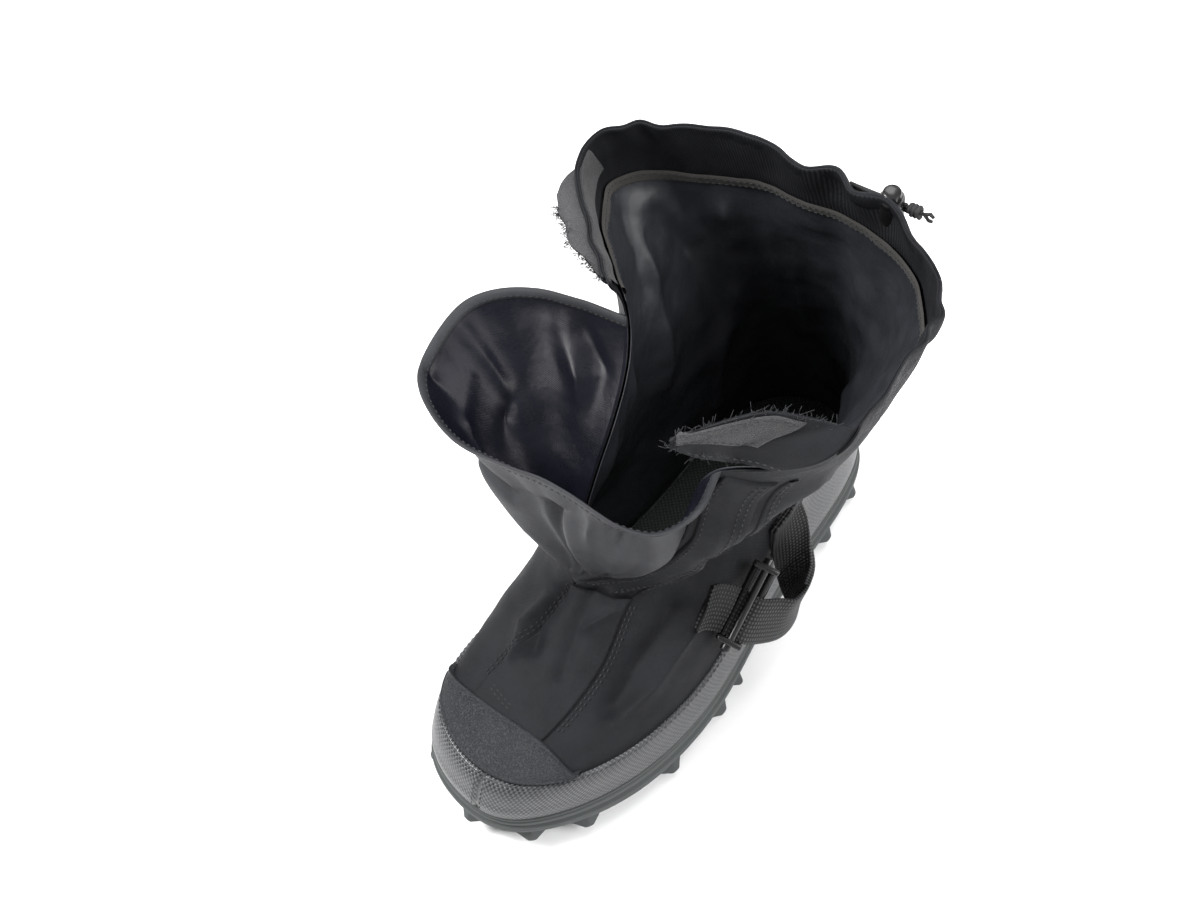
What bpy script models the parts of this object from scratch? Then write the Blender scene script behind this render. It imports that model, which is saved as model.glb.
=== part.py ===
"""Winter overshoe for the left foot: lugged outsole, slack nylon shaft and open bellows gusset.

The frame is in metres. The toe points to -Y, the outer side of the foot is +X, and the floor is z = 0.
Shares along Y are of OUTSOLE_LENGTH, shares across are of BALL_WIDTH, and shares of height are of
the shaft above the outsole. Routes and places in space are given in these shares.
"""

import functools
import math

import bmesh
import bpy
import numpy as np
from mathutils import Matrix, Vector

# Driving sizes
OUTSOLE_LENGTH = 0.330
BALL_WIDTH = 0.119
COLLAR_HEIGHT = 0.268
SOLE_TOP = 0.029
TREAD_DEPTH = 0.009
TOE_SPRING = 0.006
TOE_SPRING_START = -0.27
ARCH_RISE = 0.005
ARCH_PLACE = 0.06
ARCH_REACH = 0.15
TOE_CURVE = 1.6
WALL = 0.0020
CLEARANCE = 0.0003
OVERLAY_GAP = 0.0004
PANEL_GAP = 0.0010
LINER_GAP = 0.0009
RAND_THICKNESS = 0.0016
TOE_CAP_THICKNESS = 0.0022
PANEL_THICKNESS = 0.0009
PLACKET_THICKNESS = 0.0014
HEM_THICKNESS = 0.0024
BINDING_THICKNESS = 0.0010
STRIP_THICKNESS = 0.0016
GUSSET_THICKNESS = 0.0012
FLAP_THICKNESS = 0.0020
INSOLE_THICKNESS = 0.003
INSOLE_GAP = 0.0009
UPPER_INSET = 0.0025
STRAP_WIDTH = 0.026
STRAP_THICKNESS = 0.0018
SLIDER_LENGTH = 0.046
SLIDER_ROD = 0.0045
CORD_DIAMETER = 0.0024

# Side of the outsole: inset from the outline and share of its height
SOLE_STEPS = (
    (0.0060, 0.00),
    (0.0005, 0.12),
    (-0.0012, 0.30),
    (-0.0010, 0.52),
    (0.0006, 0.58),
    (0.0006, 0.86),
    (0.0000, 0.90),
    (0.0002, 1.00),
)

# Lugs of the outsole
LUG_ROOT = 0.004
LUG_TAPER = 0.78
EDGE_LUG_INSET = 0.012
EDGE_LUG_LENGTH = 0.020
EDGE_LUG_WIDTH = 0.015
SIDE_LUG_SIZE = 0.021
SIDE_LUG_REACH = 0.0075
SIDE_LUG_ROOT = 0.006
SIDE_LUG_FOOT = 0.72
SIDE_LUG_TIP = 0.10
SIDE_LUG_FLATNESS = 0.60
SIDE_LUG_RISE = 0.30
SIDE_LUG_DROP = 0.35
SIDE_LUG_SINK = 0.002
SIDE_LUG_FACES = 4
SIDE_LUGS = (
    # turn round the outline from the toe through the outer side, share of the full size
    (-0.010, 0.95),
    (0.058, 0.95),
    (0.106, 1.00),
    (0.173, 1.00),
    (0.218, 1.00),
    (0.238, 0.70),
    (0.264, 1.00),
    (0.306, 1.00),
    (0.348, 1.00),
    (0.394, 0.95),
    (0.453, 0.90),
    (0.510, 0.90),
    (0.560, 0.90),
    (0.606, 0.95),
    (0.652, 1.00),
    (0.694, 1.00),
    (0.736, 1.00),
    (0.762, 0.70),
    (0.782, 1.00),
    (0.827, 1.00),
    (0.880, 1.00),
    (0.923, 0.95),
)
TREAD_ROWS = 9
TREAD_START = -0.40
TREAD_STOP = 0.42
TREAD_SPREAD = 0.34
TREAD_TURN = 0.5
TREAD_LENGTH = 0.024
TREAD_WIDTH = 0.013

# Gusset
GUSSET_FOOT = 1 / 6
GUSSET_ROWS = 11
GUSSET_COLUMNS = 33
GUSSET_SEAM = 0.0013
GUSSET_LIFT = 0.0013
GUSSET_FLARE = 1.45
GUSSET_FOLDS = (
    (0.45, 0.05, -0.16),
    (0.60, 0.04, 0.10),
    (0.80, 0.05, -0.18),
)

# Strap: centre of the webbing in shares of the shoe, and the direction of its upper edge
STRAP_COLUMNS = ("x", "y", "z", "edge_x", "edge_y", "edge_z")
STRAP_ROUTE = (
    (0.4933, -0.0497, 0.2176, -0.055, 0.86, 0.51),
    (0.5286, -0.0464, 0.2117, -0.055, 0.86, 0.51),
    (0.5748, -0.0418, 0.2038, -0.055, 0.86, 0.51),
    (0.6227, -0.0109, 0.1741, -0.02, 0.7, 0.71),
    (0.6529, 0.0145, 0.1531, 0.05, 0.4, 0.92),
    (0.6529, 0.0418, 0.1414, 0.09, 0.18, 0.98),
    (0.6345, 0.0673, 0.1372, 0.2, 0.15, 0.97),
    (0.5706, 0.0933, 0.1444, 0.42, 0.42, 0.8),
    (0.5059, 0.1136, 0.1674, 0.42, 0.6, 0.68),
    (0.4563, 0.1242, 0.2134, 0.25, 0.87, 0.42),
    (0.4286, 0.1273, 0.2552, 0.02, 0.93, 0.36),
    (0.4286, 0.1273, 0.2887, 0.02, 0.93, 0.36),
)
FRONT_LOOP = (
    (0.4782, -0.0512, 0.2201, -0.055, 0.86, 0.51),
    (0.4571, -0.0564, 0.2285, -0.1, 0.86, 0.5),
    (0.4235, -0.0697, 0.2427, -0.15, 0.85, 0.49),
    (0.4084, -0.0848, 0.2510, -0.18, 0.85, 0.49),
)
STRAP_STEPS = 30
LOOP_STEPS = 13
SLIDER_AXIS = (-0.055, 0.86, 0.51)
SLIDER_RUN = (0.788, 0.205, -0.264)
SLIDER_CENTRE = (0.5256, -0.0294, 0.2256)
SLIDER_PITCH = 0.0045
SLIDER_END = 0.003

# Closure flap past the slit's outer edge: its lower and upper edge, in shares of the shoe
FLAP_ROUTE = (
    (0.5546, -0.1045, 0.8745, 0.7815, -0.0333, 0.9874),
    (0.4790, -0.1333, 0.8995, 0.6218, -0.0697, 0.9959),
    (0.3950, -0.1576, 0.9331, 0.4034, -0.1515, 0.9540),
)
FLAP_LOW = 8.35
FLAP_ROWS = 7
FLAP_STEPS = 12
FLAP_SEAM = 0.0020

# Draw cord, its lock and its knot at the back of the rim: places in shares of the shoe
CORD_PITCH = 0.0032
CORD_ROUTE = (
    (0.2269, 0.3830, 0.9540),
    (0.2857, 0.3842, 0.9540),
    (0.3529, 0.3864, 0.9540),
    (0.4202, 0.3897, 0.9531),
    (0.4874, 0.3930, 0.9523),
)
LOCK_CENTRE = (0.4202, 0.3897, 0.9381)
LOCK_AXIS = (0.22, -0.12, 0.96)
LOCK_STATION = 3
LOCK_WIDTH = 0.0130
LOCK_LENGTH = 0.0180
LOCK_SLOT = 0.0009
BUTTON_WIDTH = 0.0100
BUTTON_LENGTH = 0.0040
KNOT_LENGTH = 0.0085
KNOT_WIDTH = 0.0075
BUTTON_TAPER = 0.88

# Mesh counts and steps
COLUMNS = 48
ROWS_PER_RING = 2
CORD_STEPS = 12
LOCK_FACES = 20
ROD_FACES = 8
KNOT_FACES = (12, 8)
OUTLINE_STEP = 0.002
ALONG_STEP = 0.004
RING_STEP = 0.04
MERGE = 0.00002

# Outline of the outsole: outer and inner half width at even turns from the toe to the heel centre
SOLE_OUTLINE = (
    (0.270, 0.365),
    (0.475, 0.470),
    (0.525, 0.445),
    (0.428, 0.370),
    (0.378, 0.378),
    (0.270, 0.280),
)

# Rings of the upper from the outsole to the rim. Angles of the slit are from the front centre.
RING_COLUMNS = (
    "front_x", "front_y", "front_z", "back_y", "back_z", "foot",
    "lat_a", "lat_b", "lat_c", "lat_d", "med_a", "med_b", "med_c", "med_d",
    "slit_lat", "slit_med",
)
RINGS = (
    # feather line, then the top of its upright band
    (0.00, -0.492, 0.000, 0.492, 0.000, 1.00, .38, .48, .36, .28, .40, .44, .35, .31, 0, 0),
    (0.00, -0.490, 0.034, 0.492, 0.034, 0.98, .38, .48, .36, .28, .40, .44, .35, .31, 0, 0),
    # rand line, top of the toe cap, vamp, throat
    (0.00, -0.464, 0.094, 0.492, 0.105, 0.60, .37, .47, .35, .28, .41, .44, .35, .30, 0, 0),
    (0.00, -0.366, 0.140, 0.490, 0.200, 0.10, .37, .46, .36, .28, .39, .43, .35, .30, 0, 0),
    (-.03, -0.270, 0.205, 0.484, 0.285, 0.00, .35, .43, .39, .29, .35, .40, .36, .29, 0, 0),
    (-.09, -0.184, 0.298, 0.474, 0.365, 0.00, .31, .41, .43, .31, .25, .36, .36, .29, 0, 0),
    # shaft: ankle, calf, liner line, rim
    (-.03, -0.176, 0.420, 0.454, 0.490, 0.00, .37, .50, .55, .37, .15, .33, .42, .32, 20, 22),
    (0.00, -0.172, 0.590, 0.430, 0.640, 0.00, .49, .68, .70, .46, .12, .27, .54, .40, 28, 48),
    (0.00, -0.136, 0.800, 0.400, 0.815, 0.00, .57, .87, .87, .59, .10, .24, .71, .53, 32, 74),
    (0.00, -0.182, 0.985, 0.368, 0.980, 0.00, .81, .95, .96, .69, .07, .23, .75, .57, 68, 72),
)
THROAT_RING = 5
LINER_RING = 8
RIM_RING = 9

# Overlays, as ring numbers and as shares of the way round
RAND_LOW = 0.05
LINER_HIGH = 8.28
LINER_DIP = 0.30
LINER_DIP_PLACE = 0.66
LINER_DIP_WIDTH = 0.20
RAND_FRONT = 2.0
RAND_HEEL = 3.9
RAND_RISE_START = 0.20
RAND_RISE_STOP = 0.38
SEAM_RINGS = 0.03
CAP_TOP = 2.86
CAP_CORNER = 0.12
CAP_LATERAL = 0.085
CAP_MEDIAL = 0.105
PANEL_TOP = 4.88
PANEL_SPAN = (-0.060, 0.070)
PANEL_TABLE = (
    # ring, left side, right side
    (3.0, -0.055, 0.035),
    (5.0, -0.060, 0.070),
)

# Plain overlays: start and stop of the way round, lower and upper ring number
FRONT_PLACKET = (0.010, 0.053, 5.25, 7.95)
COLLAR_HEM = (0.015, 0.985, 8.70, 9.00)
LOOP_STRIP = (0.800, 0.985, 8.45, 8.95)
BINDING_SPAN = (0.080, 0.970)
BINDING_HALF = 0.08

# Rim of the gusset from its medial corner to its lateral corner, in shares of the shoe
GUSSET_RIM = (
    (-0.7059, 0.0455, 0.7656),
    (-0.9412, -0.0182, 0.7406),
    (-0.9328, -0.1212, 0.7238),
    (-0.8235, -0.1909, 0.7155),
    (-0.5546, -0.2333, 0.7155),
    (-0.3025, -0.2333, 0.7281),
    (-0.1092, -0.2242, 0.7364),
    (0.0756, -0.2212, 0.7364),
    (0.2773, -0.2212, 0.7281),
    (0.4202, -0.1939, 0.7155),
    (0.4874, -0.1333, 0.7197),
)


def clear_scene():
    """Empties the scene of every object."""
    for item in list(bpy.data.objects):
        bpy.data.objects.remove(item, do_unlink=True)


def collection(name):
    """Makes a collection in the scene."""
    made = bpy.data.collections.new(name)
    bpy.context.scene.collection.children.link(made)
    return made


def material(name, color, roughness, metallic=0.0):
    """Makes a plain Principled material."""
    made = bpy.data.materials.new(name)
    made.use_nodes = True
    shader = made.node_tree.nodes["Principled BSDF"]
    shader.inputs["Base Color"].default_value = (*color, 1.0)
    shader.inputs["Roughness"].default_value = roughness
    shader.inputs["Metallic"].default_value = metallic
    return made


def add_object(name, mesh, finish, group, smooth_angle=40):
    """Links a mesh as a named object with its material."""
    mesh.materials.clear()
    mesh.materials.append(finish)
    made = bpy.data.objects.new(name, mesh)
    group.objects.link(made)
    mesh.shade_smooth()
    mesh.set_sharp_from_angle(angle=math.radians(smooth_angle))
    return made


def add_cutter(name, mesh, cutters):
    """Links a mesh as a hidden tool shape for Booleans."""
    tool = bpy.data.objects.new(name, mesh)
    cutters.objects.link(tool)
    tool.hide_render = True
    tool.display_type = "WIRE"
    return tool


def add_boolean(item, name, operation, tool):
    """Adds a Boolean modifier to a piece."""
    made = item.modifiers.new(name, "BOOLEAN")
    made.operation = operation
    made.object = tool
    return made


def in_shoe(places):
    """Points in metres from shares of the ball width, the outsole's length and the shaft's height."""
    shaft = COLLAR_HEIGHT - SOLE_TOP
    return np.array([0.0, 0.0, SOLE_TOP]) + np.asarray(places) * (BALL_WIDTH, OUTSOLE_LENGTH, shaft)


def periodic_spline(values, turns):
    """Reads a smooth closed curve through evenly spaced values at the given turns, 0 to 1."""
    values = np.asarray(values, float)
    count = len(values)
    system = np.zeros((count, count))
    for i in range(count):
        system[i, i] = 4.0
        system[i, (i - 1) % count] = system[i, (i + 1) % count] = 1.0
    bend = np.linalg.solve(
        system, 6.0 * (np.roll(values, 1) - 2.0 * values + np.roll(values, -1))
    )
    place = (np.asarray(turns, float) % 1.0) * count
    low = np.floor(place).astype(int) % count
    high = (low + 1) % count
    t = place - np.floor(place)
    return (
        values[low] * (1 - t)
        + values[high] * t
        + ((1 - t) ** 3 - (1 - t)) * bend[low] / 6.0
        + (t**3 - t) * bend[high] / 6.0
    )


def smooth_rows(table, place):
    """Reads a table of rows at a fractional row number, on a Catmull-Rom curve."""
    table = np.asarray(table, float)
    last = len(table) - 1
    place = min(max(place, 0.0), float(last))
    low = min(int(place), last - 1)
    t = place - low
    a, b = table[low], table[low + 1]
    before = table[low - 1] if low > 0 else 2 * a - b
    after = table[low + 2] if low + 2 <= last else 2 * b - a
    tangent_a, tangent_b = (b - before) / 2, (after - a) / 2
    return (
        (2 * t**3 - 3 * t**2 + 1) * a
        + (t**3 - 2 * t**2 + t) * tangent_a
        + (-2 * t**3 + 3 * t**2) * b
        + (t**3 - t**2) * tangent_b
    )


def sole_half_width(turns):
    """Signed half width of the outsole at turns round it, from the toe through the outer side."""
    table = np.array(SOLE_OUTLINE)
    values = [0.0, *table[:, 0], 0.0, *(-table[::-1, 1])]
    return periodic_spline(values, turns) * BALL_WIDTH


def sole_point(turn, inset=0.0):
    """A point of the outsole's outline in plan, moved inwards by inset."""
    turns = np.array([turn - OUTLINE_STEP, turn, turn + OUTLINE_STEP])
    x = sole_half_width(turns)
    y = -0.5 * OUTSOLE_LENGTH * np.cos(2 * math.pi * turns)
    along = np.array([x[2] - x[0], y[2] - y[0]])
    along /= np.linalg.norm(along)
    return np.array([x[1], y[1]]) + inset * np.array([-along[1], along[0]])


def outline_direction(turn):
    """The direction of the outsole's outline at a turn."""
    return sole_point(turn + ALONG_STEP) - sole_point(turn - ALONG_STEP)


def upper_point(u, v):
    """A point of the upper's outer face: u runs round from the slit's outer edge, v up the rings."""
    row = dict(zip(RING_COLUMNS, smooth_rows(RINGS, v)))
    slit_lat = max(row["slit_lat"], 0.0) / 360 if v > THROAT_RING else 0.0
    slit_med = max(row["slit_med"], 0.0) / 360 if v > THROAT_RING else 0.0
    if u <= 0.5:
        turn = slit_lat + (0.5 - slit_lat) * u / 0.5
    else:
        turn = 0.5 + (0.5 - slit_med) * (u - 0.5) / 0.5
    lateral = [row[key] for key in ("lat_a", "lat_b", "lat_c", "lat_d")]
    medial = [row[key] for key in ("med_a", "med_b", "med_c", "med_d")]
    values = [0.0, *lateral, 0.0, *[-share for share in reversed(medial)]]
    shaft_x = float(periodic_spline(values, [turn])[0]) * BALL_WIDTH
    foot = min(max(row["foot"], 0.0), 1.0)
    foot_x = sole_point(turn, UPPER_INSET)[0]
    share = (1 - math.cos(2 * math.pi * turn)) / 2
    y = (row["front_y"] + (row["back_y"] - row["front_y"]) * share) * OUTSOLE_LENGTH
    rise = COLLAR_HEIGHT - SOLE_TOP - CLEARANCE
    z = SOLE_TOP + CLEARANCE + rise * (
        row["front_z"] + (row["back_z"] - row["front_z"]) * share
    )
    x = foot * foot_x + (1 - foot) * shaft_x + row["front_x"] * BALL_WIDTH * (1 - share) ** 3
    return np.array([x, y, z])


def upper_normal(u, v):
    """The outward direction of the upper's face at a point."""
    u0, u1 = max(u - ALONG_STEP, 0.0), min(u + ALONG_STEP, 1.0)
    if v <= THROAT_RING:
        u0, u1 = u - ALONG_STEP, u + ALONG_STEP
    v0, v1 = max(v - RING_STEP, 0.0), min(v + RING_STEP, float(RIM_RING))
    along = upper_point(u1 % 1.0 if u1 > 1 else u1, v) - upper_point(u0 % 1.0 if u0 < 0 else u0, v)
    up = upper_point(u, v1) - upper_point(u, v0)
    normal = np.cross(along, up)
    return normal / np.linalg.norm(normal)


def lifted_point(u, v, lift):
    """A point at a height above the upper's outer face, or below it where lift is negative."""
    return upper_point(u, v) + lift * upper_normal(u, v)


@functools.lru_cache(maxsize=None)
def grid_point(column, row, lift):
    """A corner of the upper's mesh, lifted off its face, by column and row number."""
    return lifted_point(column / COLUMNS, row / ROWS_PER_RING, lift)


def face_point(u, v, lift):
    """A point on the flat faces of the upper's mesh, lifted, so that overlays follow them."""
    wide, tall = u * COLUMNS, v * ROWS_PER_RING
    column = min(int(math.floor(wide + 1e-9)), COLUMNS - 1)
    row = min(int(math.floor(tall + 1e-9)), RIM_RING * ROWS_PER_RING - 1)
    a, b = wide - column, tall - row
    low = (1 - a) * grid_point(column, row, lift) + a * grid_point(column + 1, row, lift)
    high = (1 - a) * grid_point(column, row + 1, lift) + a * grid_point(column + 1, row + 1, lift)
    return (1 - b) * low + b * high


UPPER_ROWS = np.linspace(0, RIM_RING, RIM_RING * ROWS_PER_RING + 1)
UPPER_COLUMNS = np.linspace(0, 1, COLUMNS + 1)


def grid_mesh(name, rows, merge=True):
    """Makes an open surface from rows of points, with equal points merged."""
    mesh = bpy.data.meshes.new(name)
    work = bmesh.new()
    verts = [[work.verts.new(Vector(point)) for point in row] for row in rows]
    for low, high in zip(verts, verts[1:]):
        for a, b, c, d in zip(low, low[1:], high[1:], high):
            work.faces.new((a, b, c, d))
    if merge:
        bmesh.ops.remove_doubles(work, verts=work.verts, dist=MERGE)
        bmesh.ops.dissolve_degenerate(work, dist=MERGE, edges=work.edges)
    work.to_mesh(mesh)
    work.free()
    return mesh


def solidify(item, thickness, side):
    """Gives an open surface its thickness: side is 1 outwards, -1 inwards and 0 both ways."""
    wall = item.modifiers.new("Wall", "SOLIDIFY")
    wall.thickness = thickness
    wall.offset = side
    wall.use_even_offset = True
    return item


def patch(name, finish, group, u_range, low, high, lift, thickness, left=None, right=None):
    """An overlay on the upper. Ring numbers low and high are functions of u, and the two ends
    left and right, where given, are functions of the ring number."""
    side = 1 if lift > 0 else -1
    start, stop = u_range
    step = 1.0 / COLUMNS
    inner = [k * step for k in range(-COLUMNS, COLUMNS + 1) if start < k * step < stop]
    rows = []
    for v in UPPER_ROWS:
        row = []
        for u in [start, *inner, stop]:
            height = min(max(v, low(u)), high(u))
            place = u
            if left:
                place = min(max(u, left(height)), right(height))
                height = min(max(v, low(place)), high(place))
            row.append(face_point(place % 1.0 if place != 1.0 else 1.0, height, lift))
        rows.append(row)
    item = add_object(name, grid_mesh(name, rows), finish, group)
    return solidify(item, thickness, side)


def build_upper(finish, group):
    """The nylon foot and shaft, one wall, open at the collar, the slit and the sole."""
    rows = []
    for v in UPPER_ROWS:
        rows.append([upper_point(u, v) for u in UPPER_COLUMNS])
    item = add_object("upper", grid_mesh("upper", rows), finish, group)
    return solidify(item, WALL, -1)


def floor_line(y):
    """Height of the lug bottoms over the floor at a place along the foot."""
    share = y / OUTSOLE_LENGTH
    toe = max(0.0, (TOE_SPRING_START - share) / (0.5 + TOE_SPRING_START))
    arch = max(0.0, 1 - ((share - ARCH_PLACE) / ARCH_REACH) ** 2)
    return TOE_SPRING * toe**TOE_CURVE + ARCH_RISE * arch**2


def loop_mesh(name, loops):
    """Makes a closed solid from stacked closed loops of points, bottom first."""
    mesh = bpy.data.meshes.new(name)
    work = bmesh.new()
    rings = [[work.verts.new(Vector(point)) for point in loop] for loop in loops]
    for low, high in zip(rings, rings[1:]):
        for i in range(len(low)):
            j = (i + 1) % len(low)
            work.faces.new((low[i], low[j], high[j], high[i]))
    for ring in (rings[0], rings[-1]):
        edges = [work.edges.get((ring[i], ring[(i + 1) % len(ring)])) for i in range(len(ring))]
        bmesh.ops.triangle_fill(work, edges=edges, use_beauty=True)
    bmesh.ops.recalc_face_normals(work, faces=work.faces)
    work.to_mesh(mesh)
    work.free()
    return mesh


def build_insole(finish, group):
    """The footbed inside the upper, on the outsole."""
    inset = UPPER_INSET + WALL + INSOLE_GAP
    turns = np.linspace(0, 1, COLUMNS, endpoint=False)
    loops = []
    for z in (SOLE_TOP + CLEARANCE, SOLE_TOP + CLEARANCE + INSOLE_THICKNESS):
        loops.append([(*sole_point(turn, inset), z) for turn in turns])
    return add_object("insole", loop_mesh("insole", loops), finish, group)


def joined(items):
    """Joins bmesh shapes given as functions into one mesh."""
    work = bmesh.new()
    for shape in items:
        shape(work)
    mesh = bpy.data.meshes.new("shapes")
    bmesh.ops.recalc_face_normals(work, faces=work.faces)
    work.to_mesh(mesh)
    work.free()
    return mesh


def frame_matrix(origin, x_axis, z_axis):
    """A placing matrix from an origin, a direction for X and one near Z."""
    x_axis = Vector(x_axis).normalized()
    y_axis = Vector(z_axis).normalized().cross(x_axis).normalized()
    z_axis = x_axis.cross(y_axis)
    made = Matrix((x_axis, y_axis, z_axis)).transposed().to_4x4()
    made.translation = Vector(origin)
    return made


def tread_block(work, x, y, turn, length, width):
    """One tapered block under the sole, from the floor line into the body."""
    height = TREAD_DEPTH + LUG_ROOT
    low = floor_line(y)
    place = Matrix.Translation((x, y, low + height / 2)) @ Matrix.Rotation(turn, 4, "Z")
    scale = Matrix.Diagonal((length, width, height, 1.0))
    made = bmesh.ops.create_cube(work, size=1.0, matrix=place @ scale)
    centre = Vector((x, y, 0))
    for vert in made["verts"]:
        if vert.co.z < low + height / 2:
            vert.co.xy = centre.xy + (vert.co.xy - centre.xy) * LUG_TAPER


def side_lug(work, turn, size):
    """One ridged pyramid on the side of the sole, its point out and down."""
    here = sole_point(turn)
    ahead = outline_direction(turn)
    along = Vector((ahead[0], ahead[1], 0)).normalized()
    outward = Vector((along.y, -along.x, 0))
    height = floor_line(here[1]) + LUG_ROOT + size * SIDE_LUG_RISE
    middle = Vector((here[0], here[1], height)) - outward * SIDE_LUG_ROOT
    place = frame_matrix(middle, along, outward - Vector((0, 0, SIDE_LUG_DROP)))
    depth = SIDE_LUG_REACH + SIDE_LUG_ROOT
    bmesh.ops.create_cone(
        work, cap_ends=True, segments=SIDE_LUG_FACES, radius1=size * SIDE_LUG_FOOT,
        radius2=size * SIDE_LUG_TIP, depth=depth,
        matrix=place @ Matrix.Translation((0, 0, depth / 2 - SIDE_LUG_SINK))
        @ Matrix.Diagonal((1.0, SIDE_LUG_FLATNESS, 1.0, 1.0)),
    )


def build_outsole(finish, group, cutters):
    """The rubber outsole with its stepped side, tread blocks and side lugs."""
    turns = np.linspace(0, 1, COLUMNS, endpoint=False)
    loops = []
    for inset, share in SOLE_STEPS:
        loop = []
        for turn in turns:
            x, y = sole_point(turn, inset)
            low = floor_line(y) + TREAD_DEPTH
            loop.append((x, y, low + (SOLE_TOP - low) * share))
        loops.append(loop)
    body = add_object("outsole", loop_mesh("outsole", loops), finish, group)

    blocks, pyramids = [], []
    for turn, share in SIDE_LUGS:
        x, y = sole_point(turn, EDGE_LUG_INSET)
        ahead = outline_direction(turn)
        angle = math.atan2(ahead[1], ahead[0])
        pyramids.append(lambda work, turn=turn, share=share: side_lug(
            work, turn, SIDE_LUG_SIZE * share))
        blocks.append(lambda work, x=x, y=y, angle=angle: tread_block(
            work, x, y, angle, EDGE_LUG_LENGTH, EDGE_LUG_WIDTH))
    for k in range(TREAD_ROWS):
        share = TREAD_START + (TREAD_STOP - TREAD_START) * k / (TREAD_ROWS - 1)
        turn = math.acos(-2 * share) / (2 * math.pi)
        for side, width in ((1, sole_half_width([turn])[0]), (-1, -sole_half_width([-turn])[0])):
            x = side * width * TREAD_SPREAD
            blocks.append(lambda work, x=x, y=share * OUTSOLE_LENGTH, side=side: tread_block(
                work, x, y, side * TREAD_TURN, TREAD_LENGTH, TREAD_WIDTH))

    for label, shapes in (("tread_blocks", blocks), ("side_lugs", pyramids)):
        tool = add_cutter(label, joined(shapes), cutters)
        add_boolean(body, label, "UNION", tool).use_self = True
    return body


def seam_point(side, v):
    """Where the gusset meets the slit: just past the outer edge on side 0, and over the inner
    edge on side 1, where the sheet folds back outwards."""
    if side == 1:
        return face_point(1.0, v, GUSSET_LIFT)
    edge = face_point(0.0, v, 0.0)
    away = edge - face_point(1.0 / COLUMNS, v, 0.0)
    return edge + GUSSET_SEAM * away / np.linalg.norm(away)


def gusset_point(s, t):
    """A point of the gusset: s runs from its medial edge to its lateral edge, t from throat to rim."""
    height = THROAT_RING + (LINER_RING - THROAT_RING) * t
    medial, lateral = seam_point(1, height), seam_point(0, height)
    medial_top, lateral_top = seam_point(1, LINER_RING), seam_point(0, LINER_RING)
    rim = [medial_top, *in_shoe(GUSSET_RIM), lateral_top]
    place = s * (len(rim) - 1)
    on_rim = smooth_rows(rim, place)
    chord = medial + (lateral - medial) * s
    chord_top = medial_top + (lateral_top - medial_top) * s
    fold = 0.0
    for row in GUSSET_FOLDS:
        centre, width, depth = row
        fold += depth * math.exp(-(((s - centre) / width) ** 2))
    bulge = (on_rim - chord_top) * t**GUSSET_FLARE
    return chord + bulge * (1 + fold * 4 * t * (1 - t))


def build_gusset(finish, group):
    """The coated bellows sheet that closes the slit and hangs open."""
    rows = []
    for t in np.linspace(GUSSET_FOOT, 1, GUSSET_ROWS):
        rows.append([gusset_point(s, t) for s in np.linspace(0, 1, GUSSET_COLUMNS)])
    item = add_object("gusset", grid_mesh("gusset", rows), finish, group)
    solidify(item, GUSSET_THICKNESS, 0).modifiers["Wall"].use_even_offset = False
    return item


def strip_mesh(name, stations):
    """An open strip between two edges: each station holds its top and bottom point."""
    return grid_mesh(name, [[bottom, top] for bottom, top in stations], merge=False)


def build_strap(name, finish, group, table, steps):
    """A webbing strip through stations of centre and edge direction."""
    stations = []
    for place in np.linspace(0, len(table) - 1, steps):
        row = dict(zip(STRAP_COLUMNS, smooth_rows(table, place)))
        centre = in_shoe([row["x"], row["y"], row["z"]])
        edge = np.array([row["edge_x"], row["edge_y"], row["edge_z"]])
        edge *= STRAP_WIDTH / 2 / np.linalg.norm(edge)
        stations.append((centre - edge, centre + edge))
    item = add_object(name, strip_mesh(name, stations), finish, group, smooth_angle=60)
    return solidify(item, STRAP_THICKNESS, 0)


def build_flap(finish, group):
    """The hook-and-loop flap that carries on from the collar's outer front corner."""
    edges = [(in_shoe(row[:3]), in_shoe(row[3:])) for row in FLAP_ROUTE]
    rows = []
    for share in np.linspace(0, 1, FLAP_ROWS):
        inner = face_point(0.0, FLAP_LOW + (RIM_RING - FLAP_LOW) * share, -WALL / 2)
        line = [inner, *[low + (high - low) * share for low, high in edges]]
        away = line[1] - line[0]
        line[0] = inner + FLAP_SEAM * away / np.linalg.norm(away)
        rows.append([smooth_rows(line, place) for place in np.linspace(0, len(edges), FLAP_STEPS)])
    item = add_object("closure_flap", grid_mesh("closure_flap", rows), finish, group)
    solidify(item, FLAP_THICKNESS, 0).modifiers["Wall"].use_even_offset = False
    return item


def build_tube(name, finish, group, points, diameter):
    """A cord through a list of points, as one smooth tube with closed ends."""
    curve = bpy.data.curves.new(name, "CURVE")
    curve.dimensions = "3D"
    curve.bevel_depth = diameter / 2
    curve.bevel_resolution = 2
    curve.use_fill_caps = True
    line = [smooth_rows(points, place) for place in np.linspace(0, len(points) - 1, CORD_STEPS)]
    spline = curve.splines.new("POLY")
    spline.points.add(len(line) - 1)
    for target, point in zip(spline.points, line):
        target.co = (*point, 1.0)
    item = bpy.data.objects.new(name, curve)
    curve.materials.append(finish)
    group.objects.link(item)
    return item


def build_drawcord(finish, group):
    """Both strands of the draw cord, from the hem through the lock to the knot."""
    route = in_shoe(CORD_ROUTE)
    for name, side in (("drawcord_upper", 0.5), ("drawcord_lower", -0.5)):
        points = route + np.array([0.0, 0.0, side * CORD_PITCH])
        build_tube(name, finish, group, points, CORD_DIAMETER)


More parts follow.
